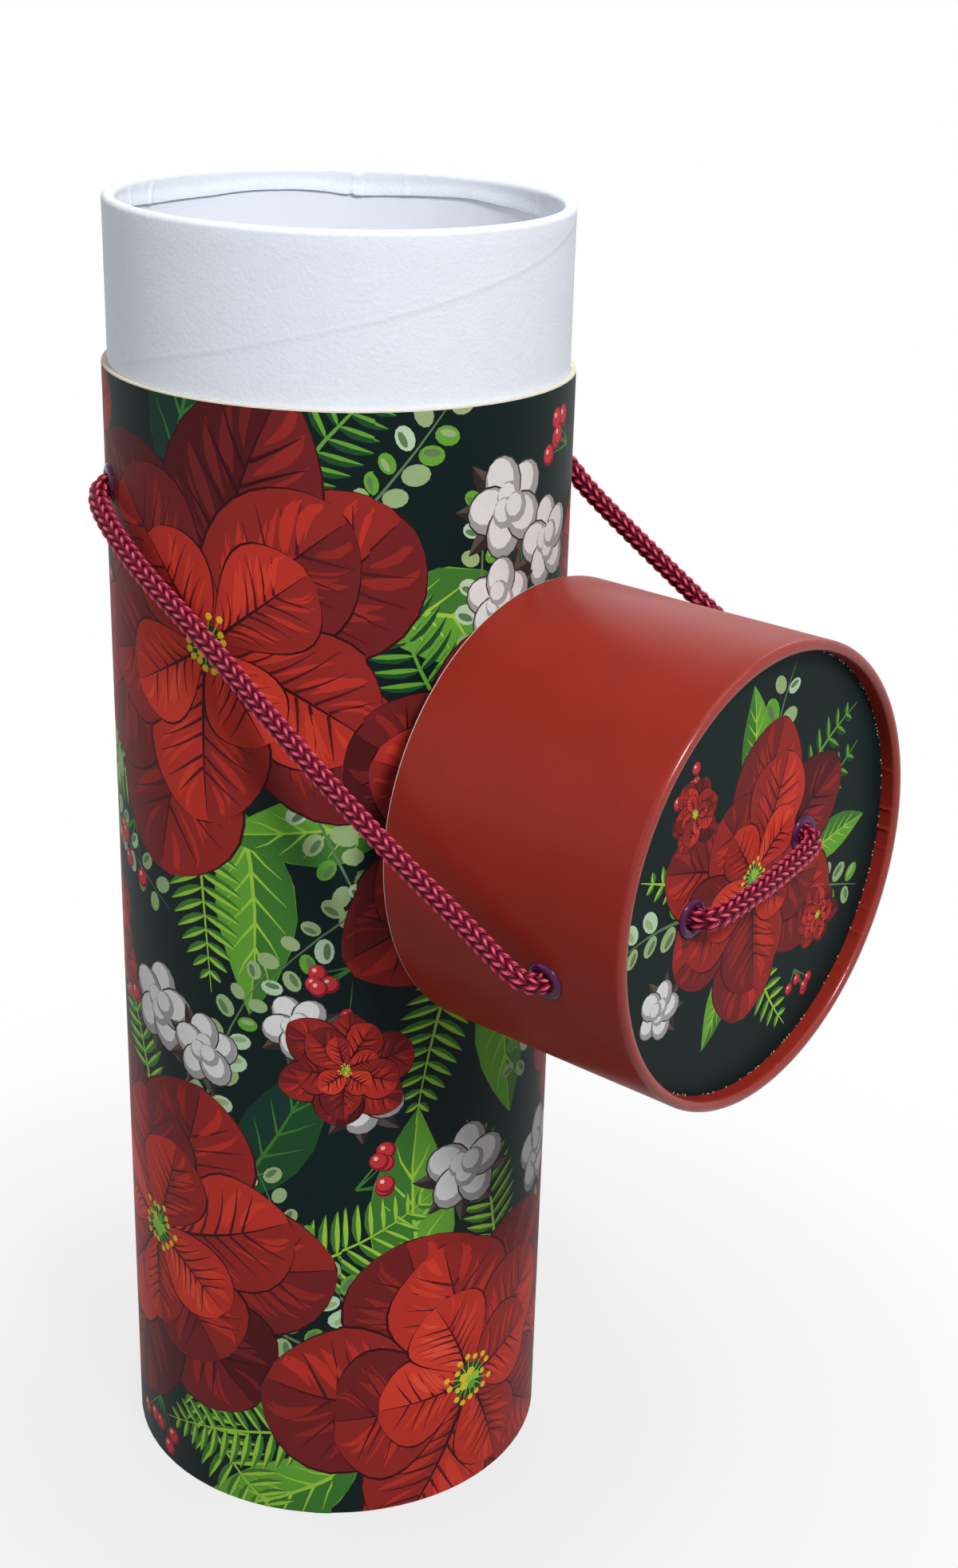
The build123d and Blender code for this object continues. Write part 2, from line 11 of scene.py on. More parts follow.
import bpy
from mathutils import Matrix, Vector, noise
from mathutils.bvhtree import BVHTree
from mathutils.geometry import delaunay_2d_cdt
from mathutils.kdtree import KDTree
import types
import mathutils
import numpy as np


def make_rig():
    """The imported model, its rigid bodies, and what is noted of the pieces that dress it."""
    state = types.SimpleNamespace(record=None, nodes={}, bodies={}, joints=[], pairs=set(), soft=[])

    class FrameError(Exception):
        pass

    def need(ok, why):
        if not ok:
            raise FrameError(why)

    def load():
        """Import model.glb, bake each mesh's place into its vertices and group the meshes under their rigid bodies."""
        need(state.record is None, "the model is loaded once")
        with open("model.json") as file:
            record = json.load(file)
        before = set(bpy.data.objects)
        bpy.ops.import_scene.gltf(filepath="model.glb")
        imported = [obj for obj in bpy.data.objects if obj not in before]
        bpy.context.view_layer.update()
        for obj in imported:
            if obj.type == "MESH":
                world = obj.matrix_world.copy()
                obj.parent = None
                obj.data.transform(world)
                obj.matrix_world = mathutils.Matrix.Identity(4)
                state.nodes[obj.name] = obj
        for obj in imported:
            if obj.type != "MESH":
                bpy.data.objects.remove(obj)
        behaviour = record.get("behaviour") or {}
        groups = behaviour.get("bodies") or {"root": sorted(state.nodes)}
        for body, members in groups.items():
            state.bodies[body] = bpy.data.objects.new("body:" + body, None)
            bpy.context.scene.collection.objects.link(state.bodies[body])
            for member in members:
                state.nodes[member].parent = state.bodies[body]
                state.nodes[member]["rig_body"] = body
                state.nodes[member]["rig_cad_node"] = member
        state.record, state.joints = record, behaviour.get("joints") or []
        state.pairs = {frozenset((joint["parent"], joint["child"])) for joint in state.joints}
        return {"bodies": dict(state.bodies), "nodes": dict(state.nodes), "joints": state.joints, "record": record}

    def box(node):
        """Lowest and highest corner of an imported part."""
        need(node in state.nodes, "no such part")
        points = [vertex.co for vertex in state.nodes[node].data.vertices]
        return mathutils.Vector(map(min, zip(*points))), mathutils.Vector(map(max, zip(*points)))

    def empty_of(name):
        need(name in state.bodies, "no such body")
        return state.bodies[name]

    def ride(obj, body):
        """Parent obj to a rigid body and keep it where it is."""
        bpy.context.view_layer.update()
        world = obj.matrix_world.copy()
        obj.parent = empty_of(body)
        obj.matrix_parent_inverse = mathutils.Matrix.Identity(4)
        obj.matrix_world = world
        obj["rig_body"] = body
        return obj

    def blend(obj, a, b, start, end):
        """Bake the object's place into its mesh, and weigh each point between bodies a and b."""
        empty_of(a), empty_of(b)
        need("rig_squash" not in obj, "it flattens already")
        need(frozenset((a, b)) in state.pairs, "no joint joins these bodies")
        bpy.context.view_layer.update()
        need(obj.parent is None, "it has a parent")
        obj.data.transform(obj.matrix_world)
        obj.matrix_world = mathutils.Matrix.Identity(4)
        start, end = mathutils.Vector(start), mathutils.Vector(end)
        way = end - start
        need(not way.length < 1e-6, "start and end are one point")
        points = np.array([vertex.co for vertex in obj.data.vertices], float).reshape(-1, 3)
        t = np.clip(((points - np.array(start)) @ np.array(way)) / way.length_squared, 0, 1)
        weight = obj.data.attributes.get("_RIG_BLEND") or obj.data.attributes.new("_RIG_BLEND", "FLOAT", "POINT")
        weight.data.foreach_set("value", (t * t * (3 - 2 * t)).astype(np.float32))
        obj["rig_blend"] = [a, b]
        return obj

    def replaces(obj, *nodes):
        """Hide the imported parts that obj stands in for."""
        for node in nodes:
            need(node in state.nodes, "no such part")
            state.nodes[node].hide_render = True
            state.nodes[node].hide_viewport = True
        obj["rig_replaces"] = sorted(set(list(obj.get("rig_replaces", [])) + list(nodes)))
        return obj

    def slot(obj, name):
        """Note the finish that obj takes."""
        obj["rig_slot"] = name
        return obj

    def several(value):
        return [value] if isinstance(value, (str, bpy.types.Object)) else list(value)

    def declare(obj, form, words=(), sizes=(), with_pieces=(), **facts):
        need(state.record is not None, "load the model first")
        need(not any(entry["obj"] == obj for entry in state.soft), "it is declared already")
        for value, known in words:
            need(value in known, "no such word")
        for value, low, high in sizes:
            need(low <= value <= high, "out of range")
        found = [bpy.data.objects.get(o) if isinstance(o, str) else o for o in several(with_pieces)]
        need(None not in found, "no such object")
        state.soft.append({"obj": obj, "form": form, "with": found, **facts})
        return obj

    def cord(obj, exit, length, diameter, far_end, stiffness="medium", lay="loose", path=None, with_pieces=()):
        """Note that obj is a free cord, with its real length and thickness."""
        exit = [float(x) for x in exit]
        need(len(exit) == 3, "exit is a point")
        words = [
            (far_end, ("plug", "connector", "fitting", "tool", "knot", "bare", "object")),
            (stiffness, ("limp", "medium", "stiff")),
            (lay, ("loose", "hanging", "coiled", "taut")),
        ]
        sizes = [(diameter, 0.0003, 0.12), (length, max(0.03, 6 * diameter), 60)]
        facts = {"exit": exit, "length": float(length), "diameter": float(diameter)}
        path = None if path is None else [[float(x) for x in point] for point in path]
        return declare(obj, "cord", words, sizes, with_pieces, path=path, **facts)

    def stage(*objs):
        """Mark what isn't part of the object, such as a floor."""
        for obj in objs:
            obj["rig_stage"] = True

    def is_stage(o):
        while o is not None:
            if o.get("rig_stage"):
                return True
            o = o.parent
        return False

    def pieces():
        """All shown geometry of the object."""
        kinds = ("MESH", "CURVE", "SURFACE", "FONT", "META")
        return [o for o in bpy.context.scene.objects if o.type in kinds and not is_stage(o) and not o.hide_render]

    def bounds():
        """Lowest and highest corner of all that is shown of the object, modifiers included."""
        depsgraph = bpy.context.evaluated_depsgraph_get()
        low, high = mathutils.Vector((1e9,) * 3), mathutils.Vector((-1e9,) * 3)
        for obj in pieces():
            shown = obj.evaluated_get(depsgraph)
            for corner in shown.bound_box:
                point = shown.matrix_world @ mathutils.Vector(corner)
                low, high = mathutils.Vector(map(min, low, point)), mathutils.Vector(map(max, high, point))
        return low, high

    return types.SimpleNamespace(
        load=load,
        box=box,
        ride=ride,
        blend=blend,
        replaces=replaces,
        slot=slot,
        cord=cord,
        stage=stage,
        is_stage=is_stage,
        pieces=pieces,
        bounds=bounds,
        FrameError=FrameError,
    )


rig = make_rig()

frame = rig.load()
nodes = frame["nodes"]
cad_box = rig.bounds()


# Outer tube board
# Wound from cream board about 1 mm thick and rolled in at the foot. Only its cut edge shows, at the
# shoulder round the white neck, where the plies of the winding can be made out.
MM = 0.001


def paint(*levels):
    """A colour given as a screen's red, green and blue, 0 to 255, made linear."""
    return tuple(((c / 255 + 0.055) / 1.055) ** 2.4 if c > 10 else c / 3294.6 for c in levels)


def set_inputs(node, values):
    """A node's inputs, by name or number, set to values or linked to sockets."""
    for key, value in values.items():
        if isinstance(value, bpy.types.NodeSocket):
            node.id_data.links.new(value, node.inputs[key])
        else:
            node.inputs[key].default_value = value


def new_finish(name, colour, roughness):
    """A material with its node tree and shader, of one colour and roughness to begin with."""
    material = bpy.data.materials.new(name)
    material.use_nodes = True
    tree = material.node_tree
    shader = tree.nodes["Principled BSDF"]
    set_inputs(shader, {"Base Color": (*colour, 1), "Roughness": roughness})
    return material, tree, shader


def add_node(tree, kind, values=None, **settings):
    """A node with its settings and its inputs."""
    node = tree.nodes.new(kind)
    for key, value in settings.items():
        setattr(node, key, value)
    set_inputs(node, values or {})
    return node


def result(tree, kind, values, **settings):
    """The first output of a new node."""
    return add_node(tree, kind, values, **settings).outputs[0]


def sums(tree, operation, first, second=0.0, third=0.0):
    """The result of one Math node, whose operands are numbers or sockets."""
    return result(tree, "ShaderNodeMath", {0: first, 1: second, 2: third}, operation=operation)


def scaled(tree, vector, amount):
    """The node that makes a colour or vector times an amount."""
    return add_node(tree, "ShaderNodeVectorMath", {0: vector, "Scale": amount}, operation="SCALE")


def between(tree, value, low, high, least=0.0, most=1.0, **settings):
    """A value that runs from least to most, carried over to run from low to high."""
    values = {"Value": value, "From Min": least, "From Max": most, "To Min": low, "To Max": high}
    return result(tree, "ShaderNodeMapRange", values, **settings)


def object_place(tree):
    """The x, y and z of a point of the object, in metres."""
    place = tree.nodes.new("ShaderNodeTexCoord").outputs["Object"]
    return add_node(tree, "ShaderNodeSeparateXYZ", {0: place}).outputs


def new_group(name, kind, inputs, outputs):
    """An empty node group, and what its inputs give. An input or output with no number is a shape."""
    group = bpy.data.node_groups.new(name, kind)
    kinds = {type(None): "NodeSocketGeometry", int: "NodeSocketInt", float: "NodeSocketFloat"}
    for side, sockets in (("INPUT", inputs), ("OUTPUT", outputs)):
        for label, value in sockets.items():
            face = group.interface.new_socket(label, in_out=side, socket_type=kinds[type(value)])
            if value is not None:
                face.default_value = value
    return group, group.nodes.new("NodeGroupInput").outputs


def fibre_group():
    """Paper and board fibre: a mottle for the tint and a height for the bump, both from object space."""
    sizes = {"Grain size": 0.4, "Mottle size": 4.0}
    group, given = new_group("fibre", "ShaderNodeTree", sizes, {"Tint": 0.0, "Height": 0.0})
    place = group.nodes.new("ShaderNodeTexCoord").outputs["Object"]
    noises = []
    for size, detail, rough in (("Grain size", 3.0, 0.65), ("Mottle size", 4.0, 0.6)):
        scale = sums(group, "DIVIDE", 1 / MM, given[size])
        web = {"Vector": place, "Scale": scale, "Detail": detail, "Roughness": rough}
        noises.append(add_node(group, "ShaderNodeTexNoise", web).outputs["Fac"])
    fine, broad = noises
    both = sums(group, "MULTIPLY", sums(group, "ADD", fine, broad), 0.5)
    add_node(group, "NodeGroupOutput", {"Tint": both, "Height": fine})
    return group


fibre = fibre_group()


def paper_finish(name, colour, roughness, grain, mottle, tint, bump):
    """Paper or board of one colour, mottled by tint and bumped by its fibre, in millimetres."""
    material, tree, shader = new_finish(name, colour, roughness)
    web = add_node(tree, "ShaderNodeGroup", node_tree=fibre)
    set_inputs(web, {"Grain size": grain, "Mottle size": mottle})
    darkest, lightest = 0.35, 0.65
    shade = between(tree, web.outputs["Tint"], 1 - tint, 1 + tint, darkest, lightest)
    toned = scaled(tree, colour, shade)
    depth = {"Height": web.outputs["Height"], "Strength": 1.0, "Distance": bump * MM}
    relief = result(tree, "ShaderNodeBump", depth)
    set_inputs(shader, {"Base Color": toned.outputs[0], "Normal": relief})
    return material, tree, shader, toned, relief


def dress(material, *names):
    """CAD pieces whose shape is right take a finish."""
    for name in names:
        for slot in nodes[name].material_slots:
            slot.material = material


def ply_board(name, colour, ply):
    """Wound board: its plies, so many millimetres apart, show as faint lines across a cut edge."""
    material, tree, shader, toned, _ = paper_finish(
        name, colour, roughness=0.85, grain=0.25, mottle=2.5, tint=0.07, bump=0.04
    )
    x, y, _ = object_place(tree)
    across = sums(tree, "SQRT", sums(tree, "MULTIPLY_ADD", x, x, sums(tree, "MULTIPLY", y, y)))
    layers = sums(tree, "SINE", sums(tree, "MULTIPLY", across, 2 * pi / (ply * MM)))
    line_depth, line_level = 0.09, 0.93
    darker = sums(tree, "MULTIPLY_ADD", layers, line_depth, line_level)
    set_inputs(shader, {"Base Color": scaled(tree, toned.outputs[0], darker).outputs[0]})
    return material


dress(ply_board("cream_board", paint(222, 214, 196), ply=0.34), "outer_tube")


# Printed paper
# One sheet of satin paper printed with red blossoms and winter greenery on near-black green. It goes once
# round the outer tube, its end glued over its start in front, a little askew, and turns in round the foot.
ground = paint(13, 28, 28)
inks = {
    "ground": ground,
    "ground green": paint(24, 52, 44),
    "petal glow": paint(224, 80, 56),
    "petal bright": paint(206, 62, 46),
    "petal": paint(184, 52, 42),
    "petal dusk": paint(144, 42, 38),
    "petal dark": paint(110, 34, 35),
    "petal deep": paint(78, 24, 27),
    "vein": paint(54, 15, 20),
    "lime": paint(150, 196, 66),
    "leaf bright": paint(98, 158, 54),
    "leaf": paint(62, 116, 47),
    "leaf dark": paint(32, 72, 40),
    "sage": paint(150, 174, 122),
    "mint": paint(178, 206, 172),
    "sage dark": paint(92, 122, 84),
    "cotton": paint(220, 220, 218),
    "cotton shade": paint(158, 157, 156),
    "husk": paint(84, 74, 66),
    "husk dark": paint(48, 40, 38),
    "berry": paint(196, 54, 60),
    "berry dark": paint(128, 30, 42),
    "berry shine": paint(240, 182, 178),
    "pollen": paint(222, 190, 52),
}


def swung(start, ahead, aside, turn):
    """The point so far ahead of a start and so far to its left, facing a turn from the sheet's x axis."""
    x = start[0] + ahead * cos(turn) - aside * sin(turn)
    return (x, start[1] + ahead * sin(turn) + aside * cos(turn))


def blade(foot, turn, length, width, bend=0.0, belly=1.0, tip=0.6):
    """How a petal or leaf lies: a function from along, 0 to 1, and across, -1 to 1, to the sheet."""

    def at(along, across):
        angle = bend * along
        reach = length * (sin(angle) / bend if abs(bend) > 0.01 else along)
        drift = length * ((1 - cos(angle)) / bend if abs(bend) > 0.01 else 0)
        half = width / 2 * max(sin(pi * along**belly), 0) ** tip * across
        return swung(foot, reach - half * sin(angle), drift + half * cos(angle), turn)

    return at


def outline(at, steps, low=-1.0, high=1.0):
    """The edge of a blade, or of the part of it between two places across."""
    along = [(1 - cos(pi * i / steps)) / 2 for i in range(steps + 1)]
    inner = 1 if low == -high else 0
    return [at(u, high) for u in along] + [at(u, low) for u in reversed(along[inner : steps + 1 - inner])]


def stroke(points, width, swell):
    """A brush stroke along points: it tapers to its end, or swells in its middle and tapers to both."""
    count = len(points) - 1
    left, right = [], []
    for i, (x, y) in enumerate(points):
        before, after = points[max(i - 1, 0)], points[min(i + 1, count)]
        dx, dy = after[0] - before[0], after[1] - before[1]
        reach = hypot(dx, dy) or 1
        share = sin(pi * (i + 0.15) / (count + 0.3)) if swell else 1 - 0.85 * i / count
        half = width / 2 * share
        left.append((x - dy / reach * half, y + dx / reach * half))
        right.append((x + dy / reach * half, y - dx / reach * half))
    return left + right[::-1]


def ring(centre, radius, sides, squash=1.0, turn=0.0):
    """A round or oval shape."""
    shape = []
    for i in range(sides):
        x, y = radius * cos(2 * pi * i / sides), radius * squash * sin(2 * pi * i / sides)
        shape.append(swung(centre, x, y, turn))
    return shape


def draw_petal(at, tones, size, draws, shaded):
    """A broad petal: a dark edge, a lit and a shaded half, veins, and light strokes between the veins."""
    lit, dim, gloss = tones
    edge_width, small_petal, strokes_kept = 0.5, 24, 0.62
    foot_gap, kept_length, kept_width = 0.008, 0.984, 0.975

    def within(along, across):
        return at(foot_gap + kept_length * along, across * kept_width)

    yield "vein", outline(lambda u, v: at(u, v * (1 + edge_width / size)), 16)
    yield lit, outline(within, 16)
    yield dim, outline(within, 14, 0.0, shaded)
    pairs = 5 if size < small_petal else 7
    dark = "petal deep" if gloss != "petal dusk" else "vein"
    for side in (-1, 1):
        tone = gloss if side != shaded else lit
        for k in range(pairs):
            start = 0.08 + 0.7 * (k + draws.uniform(-0.2, 0.2)) / pairs
            lean = draws.uniform(0.15, 0.21)
            vein = [at(start + 0.06 * i - 0.004 * i * i, side * (0.02 + lean * i)) for i in range(5)]
            yield dark, stroke(vein, 0.012 * size + 0.3, False)
            for _ in range(2):
                if draws.random() < strokes_kept:
                    begin, rise = start + draws.uniform(0.03, 0.1), draws.uniform(0.11, 0.18)
                    wide = size * draws.uniform(0.018, 0.06)
                    light = [(begin + 0.055 * i, side * (0.12 + rise * i)) for i in range(5)]
                    light = [at(min(u, 0.94), min(max(v, -0.9), 0.9)) for u, v in light]
                    yield tone, stroke(light, wide, True)
    rib = [at(0.02 + 0.155 * i, 0) for i in range(7)]
    yield "vein", stroke(rib, 0.02 * size + 0.35, False)


def draw_blossom(centre, size, turn, seed):
    """An open blossom of broad round petals in three rings, with a tuft of stamens."""
    draws = random.Random(seed)
    reds = ("petal deep", "petal dark", "petal dusk", "petal", "petal bright", "petal glow")
    dull_petals = 0.4
    # Each ring's number of petals, their length and width, and its turn. The inner rings are brighter.
    rings = [(6, 0.55, 0.4, 0.0), (5, 0.42, 0.36, 0.5), (4, 0.27, 0.24, 0.2)]
    for tier, (count, reach, width, lead) in enumerate(rings):
        order = list(range(count))
        draws.shuffle(order)
        for k in order:
            facing = turn + lead + 2 * pi * (k + draws.uniform(-0.14, 0.14)) / count
            foot = swung(centre, 0.02 * size, 0, facing)
            long = size * reach * draws.uniform(0.84, 1.08)
            at = blade(foot, facing, long, size * width * draws.uniform(0.86, 1.1),
                       draws.uniform(-0.45, 0.45), draws.uniform(1.1, 1.7), draws.uniform(0.5, 0.66))
            red = tier + (1 if draws.random() < dull_petals else 2)
            tones = reds[red], reds[red - 1], reds[red + 1]
            yield from draw_petal(at, tones, long, draws, draws.choice((-1, 1)))
    yield "leaf dark", ring(centre, size * 0.05, 14)
    stamens, buds = 16, 5
    for k in range(stamens):
        tip = swung(centre, size * draws.uniform(0.04, 0.075), 0, turn + 2 * pi * k / stamens)
        yield "lime", stroke([centre, tip], 0.5, False)
        yield "pollen", ring(tip, size * 0.009, 6)
    for k in range(buds):
        bud = swung(centre, size * 0.022, 0, turn + 2 * pi * k / buds)
        yield draws.choice(("lime", "pollen", "leaf bright")), ring(bud, size * 0.013, 7)


def draw_leaf(foot, turn, length, width, bend, tones, pairs):
    """A pointed leaf with a pale rib, one half shaded."""
    lit, dim, rib = tones
    at = blade(foot, turn, length, width, bend, 0.85, 0.95)
    yield lit, outline(at, 10)
    yield dim, outline(at, 8, 0.0, 1.0)
    for k in range(pairs):
        start = 0.16 + 0.62 * k / pairs
        for side in (-1, 1):
            side_rib = [at(start, 0), at(start + 0.09, side * 0.4), at(start + 0.16, side * 0.75)]
            yield rib, stroke(side_rib, 0.03 * width + 0.15, False)
    yield rib, stroke([at(0.24 * i, 0) for i in range(5)], 0.05 * width + 0.25, False)


def draw_fern(foot, turn, length, width, bend, tones):
    """A fern frond: slim leaflets in pairs down a curved stalk, each with a light edge."""
    stalk = blade(foot, turn, length, width, bend, 0.8, 0.7)
    lit, dim = tones
    leaflets_apart = 3.6
    pairs = int(length / leaflets_apart)
    for k in range(pairs):
        along = 0.1 + 0.86 * k / pairs
        for side in (-1, 1):
            near, far = stalk(along, 0), stalk(min(along + 0.03, 1), side)
            facing = atan2(far[1] - near[1], far[0] - near[0]) - side * 0.12
            long = hypot(far[0] - near[0], far[1] - near[1]) * 1.08
            leaflet = blade(near, facing, long, 1.5 + 0.07 * long, -side * 0.35, 0.8, 0.8)
            yield dim, outline(leaflet, 5)
            yield lit, outline(leaflet, 4, 0.1, -side * 0.9)
    yield lit, stroke([stalk(0.2 * i, 0) for i in range(6)], 1.1, False)


def draw_sprig(foot, turn, length, bend, leaf, draws):
    """A sprig of round pale leaves in pairs on a thin curved stalk."""
    stalk = blade(foot, turn, length, 1.0, bend)
    yield "sage dark", stroke([stalk(0.2 * i, 0) for i in range(6)], 0.9, False)
    pairs = int(length / (leaf * 1.25))
    for k in range(pairs):
        along = 0.16 + 0.84 * k / pairs
        here, ahead = stalk(along, 0), stalk(min(along + 0.05, 1), 0)
        facing = atan2(ahead[1] - here[1], ahead[0] - here[0])
        for side in (-1, 1):
            way = facing + side * draws.uniform(0.8, 1.3)
            size = leaf * (1 - 0.35 * along) * draws.uniform(0.85, 1.15)
            centre = swung(here, size * 0.85, 0, way)
            tone = draws.choice(("sage", "mint", "sage", "leaf bright"))
            yield tone, ring(centre, size * 0.62, 12, 0.72, way)
            shade = ring(swung(centre, 0, 0.12 * size, way), size * 0.42, 9, 0.4, way)
            yield draws.choice(("sage dark", "sage")), shade


def draw_berries(foot, turn, count, size, draws):
    """Red berries, each with a shine, on thin stalks that fan out from one point."""
    for _ in range(count):
        facing = turn + draws.uniform(-0.75, 0.75)
        tip = swung(foot, size * draws.uniform(2.2, 6.5), 0, facing)
        yield "leaf", stroke([foot, tip], 0.6, False)
        yield "berry dark", ring(tip, size * 1.08, 12)
        yield "berry", ring((tip[0] - 0.1 * size, tip[1] + 0.1 * size), size * 0.88, 12)
        yield "berry shine", ring((tip[0] - 0.35 * size, tip[1] + 0.35 * size), size * 0.27, 6)


def draw_boll(centre, turn, size):
    """A boll of cotton: pale tufts with soft shade, held in a dry brown husk."""
    husk = ("husk", "husk dark", "husk dark")
    for k in (-2, -1, 0, 1, 2):
        yield from draw_leaf(centre, turn + pi + k * 0.62, size * 1.25, size * 0.5, 0.2 * k, husk, 0)
    tufts, knobs = 5, 3
    for k in range(tufts):
        facing = turn + 2 * pi * k / tufts
        tuft = swung(centre, 0.48 * size, 0, facing)
        lit = (tuft[0] - 0.07 * size, tuft[1] + 0.08 * size)
        yield "husk dark", ring(tuft, size * 0.53, 14, 0.88, facing)
        yield "cotton shade", ring(tuft, size * 0.5, 14, 0.86, facing)
        yield "cotton", ring(lit, size * 0.39, 12, 0.82, facing)
    for k in range(knobs):
        knob = swung(centre, 0.17 * size, 0, turn + 1.1 + 2 * pi * k / knobs)
        yield "cotton shade", ring(knob, size * 0.3, 10)
        yield "cotton", ring((knob[0] - 0.05 * size, knob[1] + 0.05 * size), size * 0.22, 9)


def draw_greenery(places, draws):
    """Background foliage at each place: its kind, where, which way, how long, and its curve."""
    fern_tones = (("lime", "leaf"), ("leaf bright", "leaf dark"))
    broad_leaves = {
        "leaf": (0.4, ("leaf bright", "leaf", "lime"), 5),
        "shade": (0.38, ("leaf dark", "ground green", "leaf"), 4),
    }
    fern_width, sprig_leaf, berries = 0.42, 5.2, 5
    for kind, x, y, turn, long, bend in places:
        foot, facing = (x, y), radians(turn)
        if kind == "fern":
            yield from draw_fern(foot, facing, long, long * fern_width, bend, draws.choice(fern_tones))
        elif kind == "sprig":
            yield from draw_sprig(foot, facing, long, bend, sprig_leaf, draws)
        elif kind in broad_leaves:
            broad, tones, ribs = broad_leaves[kind]
            yield from draw_leaf(foot, facing, long, long * broad, bend, tones, ribs)
        elif kind == "berry":
            yield from draw_berries(foot, facing, berries, long, draws)
        else:
            yield from draw_boll(foot, facing, long)


def cut_sheet(loops, edges):
    """Points and bits of a plane cut along loops and edges, and the loops that each bit lies in."""
    points, faces, lines = [], [], []
    for loop in loops:
        turning = sum(a[0] * b[1] - b[0] * a[1] for a, b in zip(loop, loop[1:] + loop[:1]))
        faces.append(list(range(len(points), len(points) + len(loop))))
        points.extend(loop if turning > 0 else loop[::-1])
    for start, end in edges:
        lines.append((len(points), len(points) + 1))
        points.extend((start, end))
    touching = 2e-4
    points = [Vector(point) for point in points]
    flat, _, bits, _, _, inside = delaunay_2d_cdt(points, lines, faces, 0, touching, True)
    return flat, bits, inside


def colour_changes(flat, bits, tones):
    """The lines along which the ink changes, with needless points on straight runs left out."""
    straight_within = 0.03
    sides = {}
    for bit, tone in zip(bits, tones):
        for a, b in zip(bit, bit[1:] + bit[:1]):
            sides.setdefault((min(a, b), max(a, b)), []).append(tone)
    links = {}
    for (a, b), pair in sides.items():
        if len(pair) == 2 and pair[0] != pair[1]:
            links.setdefault(a, set()).add(b)
            links.setdefault(b, set()).add(a)
    for point in list(links):
        if len(links[point]) == 2:
            a, b = links[point]
            run = flat[b] - flat[a]
            off = abs(run.cross(flat[point] - flat[a])) / (run.length or 1)
            if off < straight_within and b not in links[a]:
                links[a].remove(point)
                links[b].remove(point)
                links[a].add(b)
                links[b].add(a)
                del links[point]
    return [(tuple(flat[a]), tuple(flat[b])) for a in links for b in links[a] if a < b]


def bit_middle(flat, bit):
    """The middle of a three-cornered bit."""
    return (flat[bit[0]] + flat[bit[1]] + flat[bit[2]]) / 3


def holds(loop, point):
    """Whether a point lies inside a loop."""
    inside = False
    x, y = point
    for (ax, ay), (bx, by) in zip(loop, loop[1:] + loop[:1]):
        if (ay > y) != (by > y) and x < ax + (y - ay) / (by - ay) * (bx - ax):
            inside = not inside
    return inside


def topmost(loops, owners, point, cuts):
    """The last loop that a point truly lies in. A loop that crosses itself can claim too much."""
    for owner in sorted(owners, reverse=True):
        if owner < cuts or holds(loops[owner], point):
            return owner
    return 0


def rim_loops(bits):
    """The closed loops of points round bits that lie side by side, the longest first."""
    uses = {(a, b) for bit in bits for a, b in zip(bit, bit[1:] + bit[:1])}
    following = {a: b for a, b in uses if (b, a) not in uses}
    rims = []
    while following:
        start = min(following)
        loop, here = [start], following.pop(start)
        while here != start:
            loop.append(here)
            here = following.pop(here)
        rims.append(loop)
    return sorted(rims, key=len, reverse=True)


def set_out(name, data):
    """An object of its own, put in the scene."""
    piece = bpy.data.objects.new(name, data)
    bpy.context.scene.collection.objects.link(piece)
    return piece


def printed_sheet(name, border, holes, folds, drawing, face_at, back_at):
    """A thin printed sheet, cut along its border and holes and creased along its folds.

    The drawing's shapes are cut out of one another, and each bit takes the ink of the topmost one on it.
    """
    cuts = [border, *holes]
    loops = cuts + [loop for _, loop in drawing]
    flat, bits, inside = cut_sheet(loops, [])
    tones = [topmost(loops, owners, bit_middle(flat, bit), len(cuts)) for bit, owners in zip(bits, inside)]
    tones = [drawing[top - len(cuts)][0] if top >= len(cuts) else "ground" for top in tones]
    printed = BVHTree.FromPolygons([(*p, 0) for p in flat], bits)
    changes = colour_changes(flat, bits, tones)
    flat, bits, inside = cut_sheet(cuts, changes + folds)
    kept = [bit for bit, loops in zip(bits, inside) if list(loops) == [0]]
    shades = [inks[tones[printed.find_nearest((*bit_middle(flat, bit), 0))[2]]] for bit in kept]
    rims = rim_loops(kept)
    flat_back, bits_back, inside = cut_sheet([[tuple(flat[i]) for i in loop] for loop in rims], folds)
    kept_back = [bit for bit, loops in zip(bits_back, inside) if list(loops) == [0]]
    nearest = KDTree(len(flat_back))
    for i, p in enumerate(flat_back):
        nearest.insert((*p, 0), i)
    nearest.balance()
    across = {i: nearest.find((*flat[i], 0))[1] + len(flat) for loop in rims for i in loop}

    corners = [face_at(*p) for p in flat] + [back_at(*p) for p in flat_back]
    polygons = [tuple(bit) for bit in kept]
    polygons += [tuple(i + len(flat) for i in reversed(bit)) for bit in kept_back]
    edge = [(b, a, across[a], across[b]) for loop in rims for a, b in zip(loop, loop[1:] + loop[:1])]
    polygons += edge
    shades += [inks["cotton"]] * (len(kept_back) + len(edge))
    used = sorted({corner for polygon in polygons for corner in polygon})
    renumbered = {old: new for new, old in enumerate(used)}
    corners = [corners[old] for old in used]
    polygons = [[renumbered[v] for v in polygon] for polygon in polygons]
    mesh = bpy.data.meshes.new(name)
    mesh.from_pydata([place for place, _ in corners], [], polygons)
    colours = mesh.color_attributes.new("ink", "FLOAT_COLOR", "CORNER")
    spread, normals = [], []
    for i, polygon in enumerate(mesh.polygons):
        flat_side = polygon.normal.copy()
        for v in polygon.vertices:
            spread.extend((*shades[i], 1.0))
            normals.append(corners[v][1] if i < len(kept) + len(kept_back) else flat_side)
    colours.data.foreach_set("color", spread)
    mesh.polygons.foreach_set("use_smooth", [True] * len(mesh.polygons))
    mesh.normals_split_custom_set(normals)
    return set_out(name, mesh)


